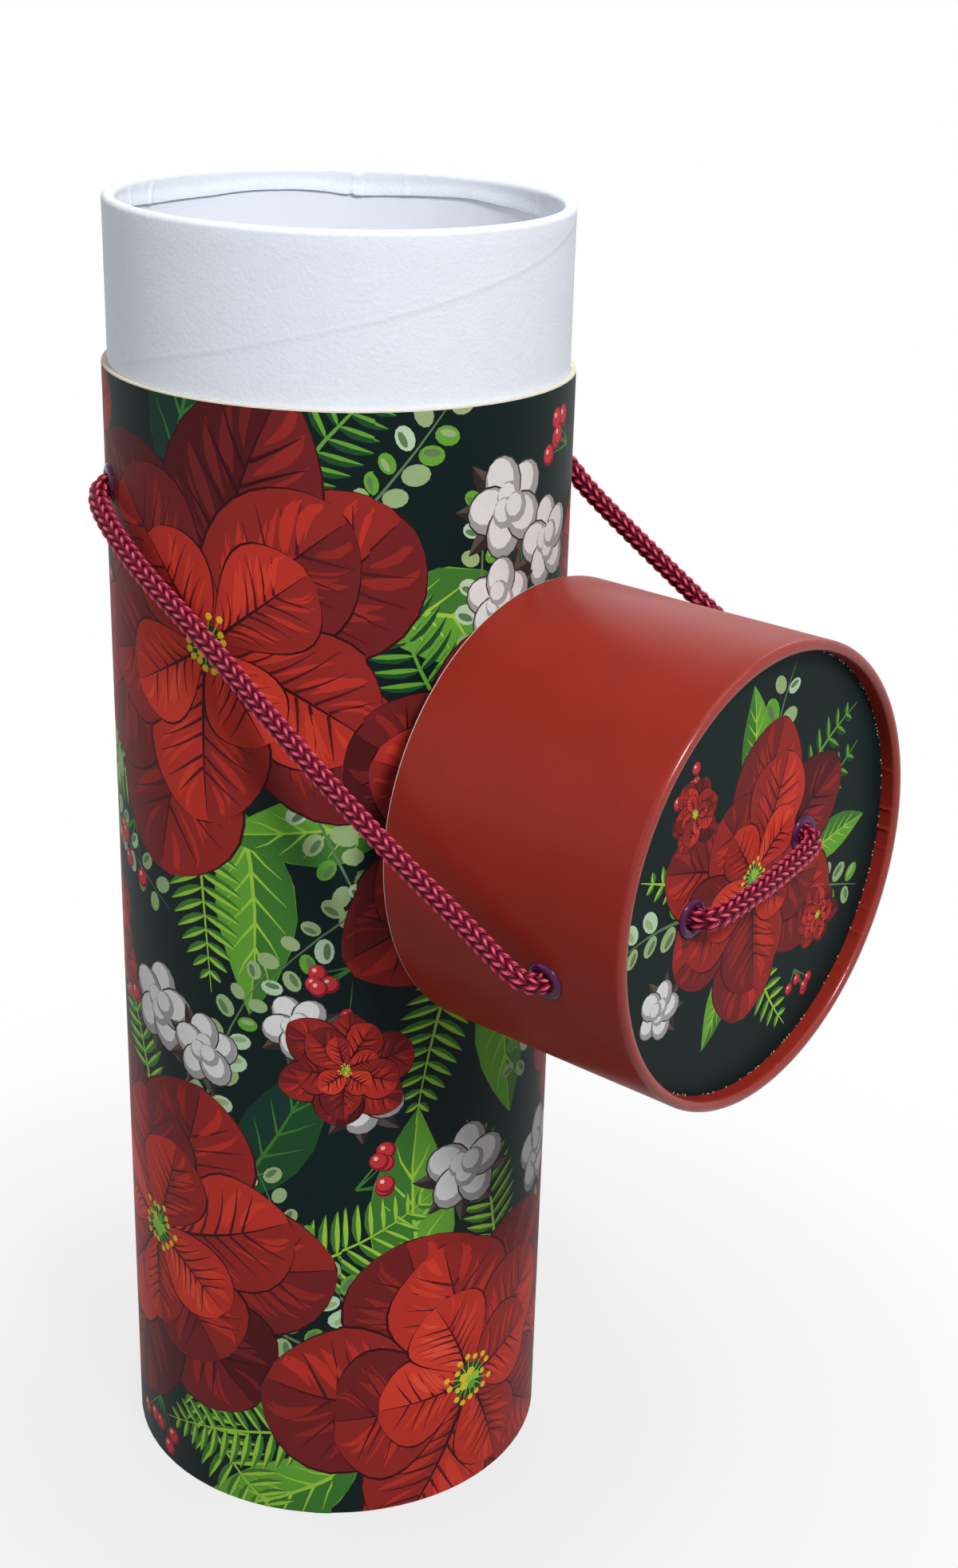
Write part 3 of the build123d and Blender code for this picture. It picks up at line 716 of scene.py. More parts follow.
tube_low, tube_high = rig.box("print_wrap")
tube_radius = (tube_high.x - tube_low.x) / 2 / MM
print_top = tube_high.z / MM
sheet_thickness = 0.14
foot_turn = 0.75
foot_sweep = 1.45
floor_gap = 0.02
start_azimuth = radians(-52)
seam_bottom, seam_top = radians(-47.9), radians(-38.4)
lap_ramp = 3.0
lap_rise = 0.15
girth = 2 * pi * tube_radius
column = 4.0


def smooth_share(value):
    """0 to 1, easing in and out."""
    value = min(max(value, 0), 1)
    return value * value * (3 - 2 * value)


def seam_place(height):
    """How far round the sheet its end lies, at a height, in millimetres."""
    share = height / print_top
    return girth + tube_radius * (seam_bottom + (seam_top - seam_bottom) * share - start_azimuth)


def wrap_at(inset):
    """Where a point of the flat sheet lies on the tube, and which way it faces. Its back lies inset."""

    def at(round_by, height):
        azimuth = start_azimuth + round_by / tube_radius
        radius = tube_radius + lap_rise * smooth_share((round_by - girth + lap_ramp) / lap_ramp)
        tilt = max(foot_turn - height, 0) / foot_turn
        out = radius - foot_turn + (foot_turn - inset) * cos(tilt)
        z = height if tilt == 0 else foot_turn - (foot_turn - floor_gap - inset) * sin(tilt)
        facing = Vector((cos(azimuth) * cos(tilt), sin(azimuth) * cos(tilt), -sin(tilt)))
        place = Vector((out * cos(azimuth), out * sin(azimuth), z)) * MM
        return place, facing if inset == 0 else -facing

    return at


sheet_bottom = foot_turn * (1 - foot_sweep)
end_bottom, end_top = seam_place(0), seam_place(print_top)
border = [(0, sheet_bottom), (end_bottom, sheet_bottom), (end_top, print_top), (0, print_top)]
eyelet_low, eyelet_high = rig.box("tube_eyelet_left")
eyelet_height = (eyelet_low.z + eyelet_high.z) / 2 / MM
tube_eyelet_azimuths = [radians(240), radians(60)]
punch = 2.9
punch_sides = 20
places_round = [(azimuth - start_azimuth) % (2 * pi) * tube_radius for azimuth in tube_eyelet_azimuths]
holes = [ring((round_by, eyelet_height), punch, punch_sides) for round_by in places_round]
uprights = [column * i for i in range(1, int(end_top / column) + 1)]
foot_lines = [foot_turn * (1 - foot_sweep * i / 5) for i in range(5)]
folds = [((x, sheet_bottom - 1), (x, print_top + 1)) for x in uprights]
folds += [((-1, y), (end_bottom + 1, y)) for y in foot_lines]


def fan_greenery(centre, size, turn, count, kinds, draws):
    """Places for foliage that fans out from under a blossom."""
    for k in range(count):
        facing = turn + 2 * pi * (k + draws.uniform(-0.25, 0.25)) / count
        kind = kinds[k % len(kinds)]
        nearest, furthest = (0.52, 0.64) if kind in ("boll", "berry") else (0.28, 0.4)
        start = size * draws.uniform(nearest, furthest)
        leafy = size * draws.uniform(0.44, 0.6)
        reach = {"boll": size * 0.12, "berry": size * 0.023}.get(kind, leafy)
        x, y = swung(centre, start, 0, facing)
        lean = degrees(facing + draws.uniform(-0.35, 0.35))
        yield kind, x, y, lean, reach, draws.uniform(-0.7, 0.7)


# Each blossom's place on the sheet, its size, its turn and its seed: eight large, and five small.
large_blossoms = 8
blossoms = [
    (285, 210, 92, 0.3, 11), (264, 66, 92, 1.1, 12), (46, 172, 84, 0.7, 13), (38, 30, 94, 0.1, 14),
    (112, 214, 92, 0.9, 15), (118, 76, 94, 0.4, 16), (190, 178, 94, 1.3, 17), (194, 40, 90, 0.2, 18),
    (240, 134, 36, 0.6, 19), (154, 136, 38, 0.5, 20), (78, 104, 34, 0.9, 21), (232, 250, 40, 0.1, 22),
    (6, 118, 28, 0.4, 23),
]
kinds = (
    "fern", "leaf", "sprig", "fern", "berry", "shade", "sprig", "fern", "boll", "leaf", "sprig", "berry",
)
more_bolls = [
    (42, 238, 40, 11), (56, 228, 100, 10), (40, 219, 160, 9), (268, 124, 80, 11), (282, 118, 20, 9),
    (10, 112, 50, 10), (304, 128, 120, 8),
]
under_to_over = ("shade", "leaf", "fern", "sprig", "boll", "berry")
fan_count = 16
fan_draws = random.Random(12)
greenery = []
for x, y, size, turn, seed in blossoms[:large_blossoms]:
    first = seed % 5
    greenery += fan_greenery((x, y), size, turn, fan_count, kinds[first:] + kinds[:first], fan_draws)
greenery += [("boll", x, y, turn, size, 0) for x, y, turn, size in more_bolls]
greenery.sort(key=lambda place: under_to_over.index(place[0]))
tube_print = list(draw_greenery(greenery, random.Random(5)))
for x, y, size, turn, seed in blossoms:
    tube_print += draw_blossom((x, y), size, turn, seed)


def repeated(drawing, repeat, low, high):
    """The drawing with each shape printed again wherever the repeat brings it onto the sheet."""
    for ink, loop in drawing:
        for shift in (-repeat, 0, repeat):
            if min(x for x, _ in loop) + shift < high and max(x for x, _ in loop) + shift > low:
                yield ink, [(x + shift, y) for x, y in loop]


misfit = 0.9
tube_print = list(repeated(tube_print, girth + misfit, 0, end_top))
printed_paper = printed_sheet(
    "printed_paper", border, holes, folds, tube_print, wrap_at(0), wrap_at(sheet_thickness)
)


def print_finish(name):
    """Printed satin paper: the ink of each bit, a little uneven and grainy, under a thin varnish."""
    material, tree, shader, toned, _ = paper_finish(
        name, (1, 1, 1), roughness=0.5, grain=0.3, mottle=9.0, tint=0.07, bump=0.006
    )
    ink = add_node(tree, "ShaderNodeAttribute", attribute_name="ink")
    set_inputs(toned, {0: ink.outputs["Color"]})
    set_inputs(shader, {"Specular IOR Level": 0.07})
    return material


satin_print = print_finish("satin_print")
printed_paper.data.materials.append(satin_print)
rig.ride(printed_paper, "tube")
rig.replaces(printed_paper, "print_wrap")
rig.slot(printed_paper, "printed_paper")


# Neck tube and its lining
# Thicker grey board, wound in a spiral and glued inside the outer tube. The inner wall is lined with
# smooth white paper down to the base.
dress(ply_board("grey_board", paint(190, 180, 164), ply=0.4), "neck_tube")
lining_white = paper_finish(
    "lining_white", paint(232, 236, 245), roughness=0.6, grain=0.5, mottle=12.0, tint=0.02, bump=0.01
)[0]
dress(lining_white, "inner_lining", "base_liner", "lid_lining", "lid_disc_lining")


# Neck paper
# White uncoated paper glued round the neck, turned over the rim and down inside to a hand-cut wavy edge.
# The board's spiral joint shows through it as a faint slanting ridge, and it creases where it turns in.
def hump(distance, width):
    """A soft ridge: 1 at no distance, falling off over a width."""
    return exp(-((distance / width) ** 2))


def nearest_turn(angle, middle):
    """How far an angle is from another, the short way round."""
    return (angle - middle + pi) % (2 * pi) - pi


def lathe(name, columns, profile_at, place):
    """A closed skin whose section, a loop of radius and height, may change round the axis."""
    corners, faces = [], []
    for i in range(columns):
        angle = 2 * pi * i / columns
        section = profile_at(angle)
        corners += [place(radius, height, angle) for radius, height in section]
    count = len(section)
    for i in range(columns):
        here, beyond = i * count, (i + 1) % columns * count
        for k in range(count):
            after = (k + 1) % count
            faces.append((here + k, beyond + k, beyond + after, here + after))
    mesh = bpy.data.meshes.new(name)
    mesh.from_pydata(corners, [], faces)
    mesh.polygons.foreach_set("use_smooth", [True] * len(faces))
    mesh.set_sharp_from_angle(angle=radians(55))
    return set_out(name, mesh)


def upright(radius, height, angle):
    """A place round the tube's own axis."""
    return (radius * cos(angle) * MM, radius * sin(angle) * MM, height * MM)


arc_steps = 7


def arc(centre, radius, start, end):
    """Points of an arc of a section, between two angles in degrees."""
    sweep = [radians(start + (end - start) * i / arc_steps) for i in range(arc_steps + 1)]
    return [(centre[0] + radius * cos(a), centre[1] + radius * sin(a)) for a in sweep]


neck_low, neck_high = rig.box("neck_wrap")
neck_radius = (neck_high.x - neck_low.x) / 2 / MM
neck_bottom, rim = neck_low.z / MM, neck_high.z / MM
neck_rounding = 1.15
neck_paper = 0.15
bore_radius = 45.1
flap_depth = 5.15
flap_lift, lift_over = 0.5, 3
tucked = 0.1
back_bend = 2.6
wave_count, wave_height, wave_phase = 6, 0.5, radians(155)
edge_wander = 0.35
surface_wander = 0.04
lap_angle = radians(128)
lap_width = 0.05
lap_step = 0.006
lap_lift = 0.22
notch_depth, notch_width = 0.45, 0.01
crease_width, crease_fade = 0.012, 3
# Each crease's angle, its depth, and how far it leans as it goes down.
creases = [
    (3.38, 0.3, 0.5), (3.5, 0.22, -0.35), (3.62, 0.28, 0.2), (3.1, 0.12, 0.1), (2.02, 0.14, 0.0),
    (0.75, 0.2, 0.3), (5.3, 0.12, 0.0), (1.2, 0.1, -0.2),
]


def neck_section(angle):
    """The neck paper's section at an angle: up the outside, over the rim, down inside, and back."""
    across, along = 4 * cos(angle), 4 * sin(angle)
    wander = noise.noise((across, along, 0.5))
    edge = rim - flap_depth + wave_height * cos(wave_count * (angle - wave_phase)) + edge_wander * wander
    off_lap = nearest_turn(angle, lap_angle)
    lap = smooth_share(off_lap / lap_step + 0.5) * smooth_share((lap_width - off_lap) / lap_step + 0.5)
    edge += notch_depth * hump(off_lap - lap_width, notch_width)
    outside = []
    rows = 12
    for i in range(rows):
        height = neck_bottom + (rim - neck_rounding - neck_bottom) * i / rows
        uneven = surface_wander * noise.noise((across, along, height / 9))
        outside.append((neck_radius - 0.05 + uneven, height))
    over = arc((neck_radius - neck_rounding, rim - neck_rounding), neck_rounding, 0, 90)
    over += arc((bore_radius + neck_rounding, rim - neck_rounding), neck_rounding, 90, 180)
    inside = []
    rows = 14
    for i in range(1, rows + 1):
        height = rim - neck_rounding + (edge - rim + neck_rounding) * i / rows
        lift = flap_lift * smooth_share((edge + lift_over - height) / lift_over) * (0.75 + 0.5 * abs(wander))
        slide = rim - height
        creased = 0
        for where, deep, lean in creases:
            creased += deep * hump(nearest_turn(angle, where + lean * slide / bore_radius), crease_width)
        inward = lift + creased * smooth_share(slide / crease_fade) + lap_lift * lap
        inside.append((bore_radius - inward, height))
    hidden = neck_radius - neck_paper - tucked
    back = [
        (inside[-1][0] + neck_paper, inside[-1][1]),
        (bore_radius + tucked, rim - back_bend),
        (bore_radius + neck_paper, rim - neck_rounding),
        (bore_radius + neck_rounding, rim - neck_paper),
        (neck_radius - neck_rounding, rim - neck_paper),
        (hidden, rim - neck_rounding),
        (hidden, neck_bottom),
    ]
    return outside + over + inside + back


neck_paper_piece = lathe("neck_paper", 640, neck_section, upright)
neck_white, tree, shader, _, relief = paper_finish(
    "neck_white", paint(228, 234, 243), roughness=0.62, grain=0.8, mottle=4.0, tint=0.022, bump=0.11
)
# The joint climbs evenly round the neck, as a rounded step with a ridge along it.
joint_foot, joint_climb, joint_sweep = 259 * MM, 31 * MM, radians(160)
joint_start = radians(-125)
joint_relief = 0.06 * MM
x, y, z = object_place(tree)
turned = sums(tree, "ARCTAN2", y, x)
rising = sums(tree, "WRAP", sums(tree, "SUBTRACT", turned, joint_start), 2 * pi, 0.0)
joint = sums(tree, "MULTIPLY_ADD", rising, joint_climb / joint_sweep, joint_foot)
above = sums(tree, "DIVIDE", sums(tree, "SUBTRACT", z, joint), MM)
ridge = sums(tree, "EXPONENT", sums(tree, "MULTIPLY", sums(tree, "MULTIPLY", above, above), -2.5))
step = between(tree, above, 0.0, 1.0, -1.5, 1.5, interpolation_type="SMOOTHSTEP")
joint_height = sums(tree, "MULTIPLY_ADD", ridge, 0.8, step)
shown = result(tree, "ShaderNodeBump", {
    "Height": joint_height, "Normal": relief, "Strength": 1.0, "Distance": joint_relief,
})
set_inputs(shader, {"Normal": shown})
neck_paper_piece.data.materials.append(neck_white)
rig.ride(neck_paper_piece, "tube")
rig.replaces(neck_paper_piece, "neck_wrap")
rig.slot(neck_paper_piece, "white_paper")


# Base
# A grey board disc that rests on the rolled foot inside, with dark paper pasted under it.
disc_board = ply_board("disc_board", paint(196, 188, 172), ply=0.5)
dress(disc_board, "base_disc", "lid_disc")
base_dark = paper_finish(
    "base_dark", ground, roughness=0.5, grain=0.35, mottle=8.0, tint=0.06, bump=0.01
)[0]
dress(base_dark, "base_cover")


# Lid board
# Thin board rolled in at the closed end. Its pale cut edge shows all round the open mouth.
dress(disc_board, "lid_tube")
lid_low, lid_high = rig.box("lid_wrap")
mouth_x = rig.box("lid_tube")[0].x / MM
lid_y = (lid_low.y + lid_high.y) / 2 / MM
lid_z = (lid_low.z + lid_high.z) / 2 / MM
lid_radius = (lid_high.z - lid_low.z) / 2 / MM
lid_length = lid_high.x / MM - mouth_x


def along_lid(radius, height, angle):
    """A place round the lid's axis: height runs from the mouth to the closed end."""
    x, y, z = mouth_x + height, lid_y + radius * cos(angle), lid_z + radius * sin(angle)
    return (x * MM, y * MM, z * MM)


# Lid paper
# Brick-red satin paper round the lid and over its rolled rim down to the disc. It gathers in small pleats
# where it turns in over the rim, because the rim's inside is smaller than its outside.
rim_width = 2.45
rim_depth = 3.8
lid_rounding = 1.15
lid_paper = 0.15
lid_seam = radians(300)
seam_step, seam_fade, seam_rise = 0.006, 0.16, 0.1
mouth_gap = 0.3
pleat_count, pleat_width, pleat_depth = 26, 0.007, 0.42
pleat_pull, pleat_rise = 0.2, 0.02
lid_wander, wander_fade = 0.06, 8
pleat_draws = random.Random(31)
pleats = []
for k in range(pleat_count):
    where = 2 * pi * (k + pleat_draws.uniform(-0.35, 0.35)) / pleat_count
    pleats.append((where, pleat_draws.uniform(0.1, 0.5)))
for degrees_round, depth in ((356, 1.0), (1.5, 0.75), (282, 1.0), (327, 0.6), (242, 0.6)):
    pleats.append((radians(degrees_round), depth))


def lid_section(angle):
    """The lid paper's section at an angle: along the outside, over the rim, down to the disc, and back."""
    gather = sum(depth * hump(nearest_turn(angle, where), pleat_width) for where, depth in pleats)
    off_seam = nearest_turn(angle, lid_seam)
    lap = smooth_share(off_seam / seam_step + 0.5) * smooth_share((seam_fade - off_seam) / seam_fade)
    outside = []
    rows = 10
    for i in range(rows):
        height = mouth_gap + (lid_length - lid_rounding - mouth_gap) * i / rows
        uneven = lid_wander * noise.noise((2.6 * cos(angle), 2.6 * sin(angle), height / 22 + 7))
        uneven *= smooth_share(height / wander_fade)
        outside.append((lid_radius - lid_wander + seam_rise * lap + uneven, height))
    bend = lid_length - lid_rounding
    shoulder = arc((lid_radius - lid_rounding, bend), lid_rounding, 0, 90)
    inner = lid_radius - rim_width
    turned = arc((inner + lid_rounding, bend), lid_rounding, 90, 180)
    for k, (radius, height) in enumerate(turned):
        inward, upward = gather * pleat_pull * k / arc_steps, gather * pleat_rise * k / arc_steps
        turned[k] = (radius - inward, height + upward)
    inside = []
    rows = 6
    for i in range(1, rows + 1):
        height = bend - (rim_depth - lid_rounding) * i / rows
        inside.append((inner - gather * pleat_depth, height))
    hidden = lid_radius - lid_paper - tucked
    back = [
        (inner + lid_paper, lid_length - rim_depth),
        (inner + lid_paper, bend),
        (inner + lid_rounding, lid_length - lid_paper),
        (lid_radius - lid_rounding, lid_length - lid_paper),
        (hidden, bend),
        (hidden, mouth_gap),
    ]
    return outside + shoulder + turned + inside + back


def mixed_colour(tree, share, first, second):
    """One colour shading into another by a share."""
    return add_node(tree, "ShaderNodeMix", {0: share, 6: first, 7: second}, data_type="RGBA").outputs[2]


lid_paper_piece = lathe("lid_paper", 960, lid_section, along_lid)
brick_red, tree, shader, toned, _ = paper_finish(
    "brick_red", paint(139, 40, 30), roughness=0.42, grain=0.28, mottle=14.0, tint=0.08, bump=0.008
)
# The rim is painted paler in patches, partly as rubbed wear and partly as a painted sheen, and its coat is shinier
# than the rest.
rim_band_width = 1.6 * MM
rim_share = between(tree, object_place(tree)[0], 0.0, 1.0, lid_high.x - rim_band_width, lid_high.x)
wear_and_sheen_noise = add_node(tree, "ShaderNodeTexNoise", {"Scale": 260.0, "Detail": 4.0, "Roughness": 0.7})
wear_and_sheen_patches = between(tree, wear_and_sheen_noise.outputs["Fac"], 0.0, 1.0, 0.5, 0.75)
wear_and_sheen = sums(tree, "MULTIPLY", sums(tree, "MULTIPLY", rim_share, wear_and_sheen_patches), 0.5)
# Paler brown-red on the rim: rubbed wear and painted sheen.
rim_tone_with_sheen = mixed_colour(tree, wear_and_sheen, toned.outputs[0], (*paint(172, 92, 78), 1))
set_inputs(shader, {
    "Base Color": rim_tone_with_sheen, "Specular IOR Level": 0.06,
    "Coat Weight": between(tree, rim_share, 0.03, 0.7), "Coat Roughness": 0.2,
})
lid_paper_piece.data.materials.append(brick_red)
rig.ride(lid_paper_piece, "lid")
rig.replaces(lid_paper_piece, "lid_wrap")
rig.slot(lid_paper_piece, "red_paper")


# Printed disc
# The lid's disc carries the same printed paper, sunk under the rolled rim. Where it was trimmed, flecks of
# bare white paper show along the rim's foot.
disc_low, disc_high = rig.box("lid_disc_print")
face_x = disc_high.x / MM
disc_radius = (disc_high.y - disc_low.y) / 2 / MM


def disc_at(x, back):
    """Where a point of the flat disc lies, for its face or its back."""

    def at(y, z):
        return Vector((x, lid_y + y, lid_z + z)) * MM, Vector((-1 if back else 1, 0, 0))

    return at


def lid_place(node):
    """Where a CAD piece's middle lies on the lid's disc, in millimetres."""
    low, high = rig.box(node)
    return ((low.y + high.y) / 2 / MM - lid_y, (low.z + high.z) / 2 / MM - lid_z)


top_eyelets = [lid_place("lid_top_eyelet_near"), lid_place("lid_top_eyelet_far")]
disc_blossom = (-1, 0)
disc_kinds = (
    "fern", "sprig", "leaf", "berry", "fern", "sprig", "boll", "leaf", "fern", "berry", "sprig", "leaf",
    "fern",
)
disc_size = 56
disc_greenery = []
for kind, x, y, turn, reach, bend in fan_greenery(
    disc_blossom, disc_size, 0.9, len(disc_kinds), disc_kinds, random.Random(21)
):
    shorter = 0.8 if kind in ("fern", "leaf", "sprig") else 1
    disc_greenery.append((kind, x, y, turn, reach * shorter, bend))
disc_print = list(draw_greenery(disc_greenery, random.Random(9)))
for place, size, turn, seed in (
    (disc_blossom, disc_size, 0.5, 41), ((-23, 20), 15, 0.2, 42), ((25, -17), 14, 0.9, 43),
):
    disc_print += draw_blossom(place, size, turn, seed)
disc_holes = [ring(place, punch, punch_sides) for place in top_eyelets]
printed_disc = printed_sheet(
    "printed_disc", ring((0, 0), disc_radius, 96), disc_holes, [], disc_print,
    disc_at(face_x, False), disc_at(face_x - sheet_thickness, True),
)
printed_disc.data.materials.append(satin_print)
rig.ride(printed_disc, "lid")
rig.replaces(printed_disc, "lid_disc_print")
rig.slot(printed_disc, "printed_paper")


def grown(name, source, tree, values):
    """The plain mesh that a Geometry Nodes tree makes of a source object, which is then removed."""
    modifier = source.modifiers.new("made", "NODES")
    modifier.node_group = tree
    sockets = {item.name: item.identifier for item in tree.interface.items_tree if item.in_out == "INPUT"}
    for label, value in values.items():
        modifier[sockets[label]] = value
    evaluated = source.evaluated_get(bpy.context.evaluated_depsgraph_get())
    mesh = bpy.data.meshes.new_from_object(evaluated)
    source.modifiers.remove(modifier)
    bpy.data.objects.remove(source)
    return set_out(name, mesh)


def combined(tree, x, y, z):
    """A vector of three numbers or sockets."""
    return result(tree, "ShaderNodeCombineXYZ", {0: x, 1: y, 2: z})


def finished(tree, shape, material):
    """The end of a Geometry Nodes tree: its shape takes a material and is given out."""
    coated = result(tree, "GeometryNodeSetMaterial", {"Geometry": shape, "Material": material})
    add_node(tree, "NodeGroupOutput", {0: coated})
    return tree


def fleck_tree(material):
    """Flecks of torn paper strewn over some of the points given, each of its own size and turn."""
    tree, given = new_group("flecks", "GeometryNodeTree", {
        "Places": None, "Share kept": 0.4, "Smallest": 0.07 * MM, "Largest": 0.36 * MM, "Strewn": 0.12 * MM,
        "Seed": 4,
    }, {"Flecks": None})
    small, large, reach = given["Smallest"], given["Largest"], given["Strewn"]

    def scattered(low, high):
        values = {0: low, 1: high, 8: given["Seed"]}
        return result(tree, "FunctionNodeRandomValue", values, data_type="FLOAT_VECTOR")

    chance = {6: given["Share kept"], 8: given["Seed"]}
    kept = add_node(tree, "FunctionNodeRandomValue", chance, data_type="BOOLEAN")
    back = sums(tree, "MULTIPLY", reach, -1.0)
    shift = scattered(combined(tree, 0.0, back, back), combined(tree, reach, reach, reach))
    strewn = result(tree, "GeometryNodeSetPosition", {"Geometry": given["Places"], "Offset": shift})
    chip = result(tree, "GeometryNodeMeshIcoSphere", {"Radius": 1.0, "Subdivisions": 1})
    size = scattered(combined(tree, small, small, small), combined(tree, small, large, large))
    most_turn = 0.6
    turn = scattered((-most_turn,) * 3, (most_turn,) * 3)
    spread = result(tree, "GeometryNodeInstanceOnPoints", {
        "Points": strewn, "Selection": kept.outputs[3], "Instance": chip, "Rotation": turn, "Scale": size,
    })
    return finished(tree, result(tree, "GeometryNodeRealizeInstances", {0: spread}), material)


fleck_inset = 0.16
fleck_count = 300
foot_ring = ring((0, 0), lid_radius - rim_width - fleck_inset, fleck_count)
fleck_places = bpy.data.meshes.new("fleck_places")
fleck_places.from_pydata([Vector((face_x, lid_y + y, lid_z + z)) * MM for y, z in foot_ring], [], [])
source = set_out("fleck_places", fleck_places)
torn_white = paper_finish(
    "torn_white", paint(236, 230, 220), roughness=0.8, grain=0.2, mottle=1.0, tint=0.12, bump=0.02
)[0]
paper_flecks = grown("paper_flecks", source, fleck_tree(torn_white), {"Share kept": 0.5})
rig.ride(paper_flecks, "lid")
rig.slot(paper_flecks, "printed_paper")


# Eyelets
# Six eyelets of one pattern, stamped from thin metal and lacquered dark purple: a rolled flange outside,
# a barrel through the wall, and its end clenched behind over a plain steel washer.
def circle(tree, sides, radius):
    """A round line of so many sides."""
    return result(tree, "GeometryNodeCurvePrimitiveCircle", {"Resolution": sides, "Radius": radius})


def eyelet_tree(material):
    """A rolled flange, a barrel and a clenched end, set at each point and turned to face outwards."""
    tree, given = new_group("eyelets", "GeometryNodeTree", {
        "Places": None, "Bore": 2.2 * MM, "Flange": 4.15 * MM, "Flange height": 0.8 * MM, "Grip": 5.0 * MM,
    }, {"Eyelets": None})
    metal, barrel_reach = 0.15 * MM, 0.6 * MM
    clench, clench_below, clench_inset = 0.35 * MM, 0.85 * MM, 0.1 * MM
    hoop_sides, section_sides = 48, 14
    middle = sums(tree, "MULTIPLY", sums(tree, "ADD", given["Bore"], given["Flange"]), 0.5)
    half = sums(tree, "MULTIPLY", sums(tree, "SUBTRACT", given["Flange"], given["Bore"]), 0.5)

    def placed(shape, **change):
        return result(tree, "GeometryNodeTransform", {"Geometry": shape, **change})

    def hoop(radius, wide, tall, lift):
        section = placed(circle(tree, section_sides, 1.0), Scale=combined(tree, wide, tall, 1.0))
        values = {"Curve": circle(tree, hoop_sides, radius), "Profile Curve": section}
        tube = result(tree, "GeometryNodeCurveToMesh", values)
        return placed(tube, Translation=combined(tree, 0.0, 0.0, lift))

    wall = sums(tree, "ADD", given["Bore"], metal)
    deep = sums(tree, "MULTIPLY", given["Grip"], -0.5)
    barrel = sums(tree, "ADD", sums(tree, "MULTIPLY", given["Grip"], 0.5), barrel_reach)
    clenched = sums(tree, "SUBTRACT", middle, clench_inset)
    parts = [
        hoop(middle, half, given["Flange height"], 0.0),
        hoop(wall, metal, barrel, deep),
        hoop(clenched, half, clench, sums(tree, "SUBTRACT", -clench_below, given["Grip"])),
    ]
    joined = tree.nodes.new("GeometryNodeJoinGeometry")
    for part in reversed(parts):
        tree.links.new(part, joined.inputs[0])
    label = {"Name": "outward"}
    outward = result(tree, "GeometryNodeInputNamedAttribute", label, data_type="FLOAT_VECTOR")
    turned = result(tree, "FunctionNodeAlignRotationToVector", {"Vector": outward}, axis="Z")
    spread = result(tree, "GeometryNodeInstanceOnPoints", {
        "Points": given["Places"], "Instance": joined.outputs[0], "Rotation": turned,
    })
    solid = result(tree, "GeometryNodeRealizeInstances", {0: spread})
    return finished(tree, result(tree, "GeometryNodeSetShadeSmooth", {"Geometry": solid}), material)


def worn_gloss(tree, shader, scale, detail, low, high, least=0.0, most=1.0):
    """Roughness between two values, after a fine noise."""
    web = add_node(tree, "ShaderNodeTexNoise", {"Scale": scale, "Detail": detail})
    set_inputs(shader, {"Roughness": between(tree, web.outputs["Fac"], low, high, least, most)})


lacquer, tree, shader = new_finish("purple_lacquer", paint(50, 14, 44), 0.22)
worn_gloss(tree, shader, 900.0, 2.0, low=0.18, high=0.36, least=0.4, most=0.7)
blotch = add_node(tree, "ShaderNodeTexNoise", {"Scale": 500.0, "Detail": 3.0})
tone = mixed_colour(tree, blotch.outputs["Fac"], (*paint(56, 12, 50), 1), (*paint(90, 30, 80), 1))
set_inputs(shader, {
    "Base Color": tone, "Specular IOR Level": 0.14, "Coat Weight": 0.14, "Coat Roughness": 0.08,
})

sunk = 0.1
side_tilt = radians(13.7)
side_low, side_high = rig.box("lid_side_eyelet_near")
side_out = Vector((0, cos(side_tilt), sin(side_tilt)))
lid_middle = Vector(((side_low.x + side_high.x) / 2 / MM, lid_y, lid_z))
tube_spots = []
for azimuth in tube_eyelet_azimuths:
    out = Vector((cos(azimuth), sin(azimuth), 0))
    tube_spots.append((out * (tube_radius - sunk) + Vector((0, 0, eyelet_height)), out))
side_spots = [(lid_middle + out * (lid_radius - sunk), out) for out in (-side_out, side_out)]
top_spots = [(Vector((face_x, lid_y + y, lid_z + z)), Vector((1, 0, 0))) for y, z in top_eyelets]
eyelets = eyelet_tree(lacquer)
eyelet_sets = [
    ("tube_eyelets", tube_spots, 4.1, "tube", ("tube_eyelet_left", "tube_eyelet_right")),
    ("lid_side_eyelets", side_spots, 1.2, "lid", ("lid_side_eyelet_near", "lid_side_eyelet_far")),
    ("lid_top_eyelets", top_spots, 2.3, "lid", ("lid_top_eyelet_near", "lid_top_eyelet_far")),
]
for name, spots, grip, body, replaced in eyelet_sets:
    mesh = bpy.data.meshes.new("eyelet_places")
    mesh.from_pydata([tuple(place * MM) for place, _ in spots], [], [])
    facing = mesh.attributes.new("outward", "FLOAT_VECTOR", "POINT")
    facing.data.foreach_set("vector", [c for _, out in spots for c in out])
    piece = grown(name, set_out("eyelet_places", mesh), eyelets, {"Grip": grip * MM})
    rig.ride(piece, body)
    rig.replaces(piece, *replaced)
    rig.slot(piece, "eyelet_metal")

steel, tree, shader = new_finish("washer_steel", paint(150, 150, 152), 0.34)
set_inputs(shader, {"Metallic": 1.0})
worn_gloss(tree, shader, 700.0, 3.0, low=0.25, high=0.5)
dress(steel, "tube_washer_left", "tube_washer_right", "lid_side_washer_near", "lid_side_washer_far",
      "lid_top_washer_near", "lid_top_washer_far")


# Cord
# One knitted cord of glossy maroon yarn, 4.2 mm thick: four chains of V stitches round a hollow middle.
# Its ends are knotted inside the tube, and its middle, over the lid's top, is the handle.
cord_diameter = 4.2
stitch_columns = 4
stitch_pitch = 2.3
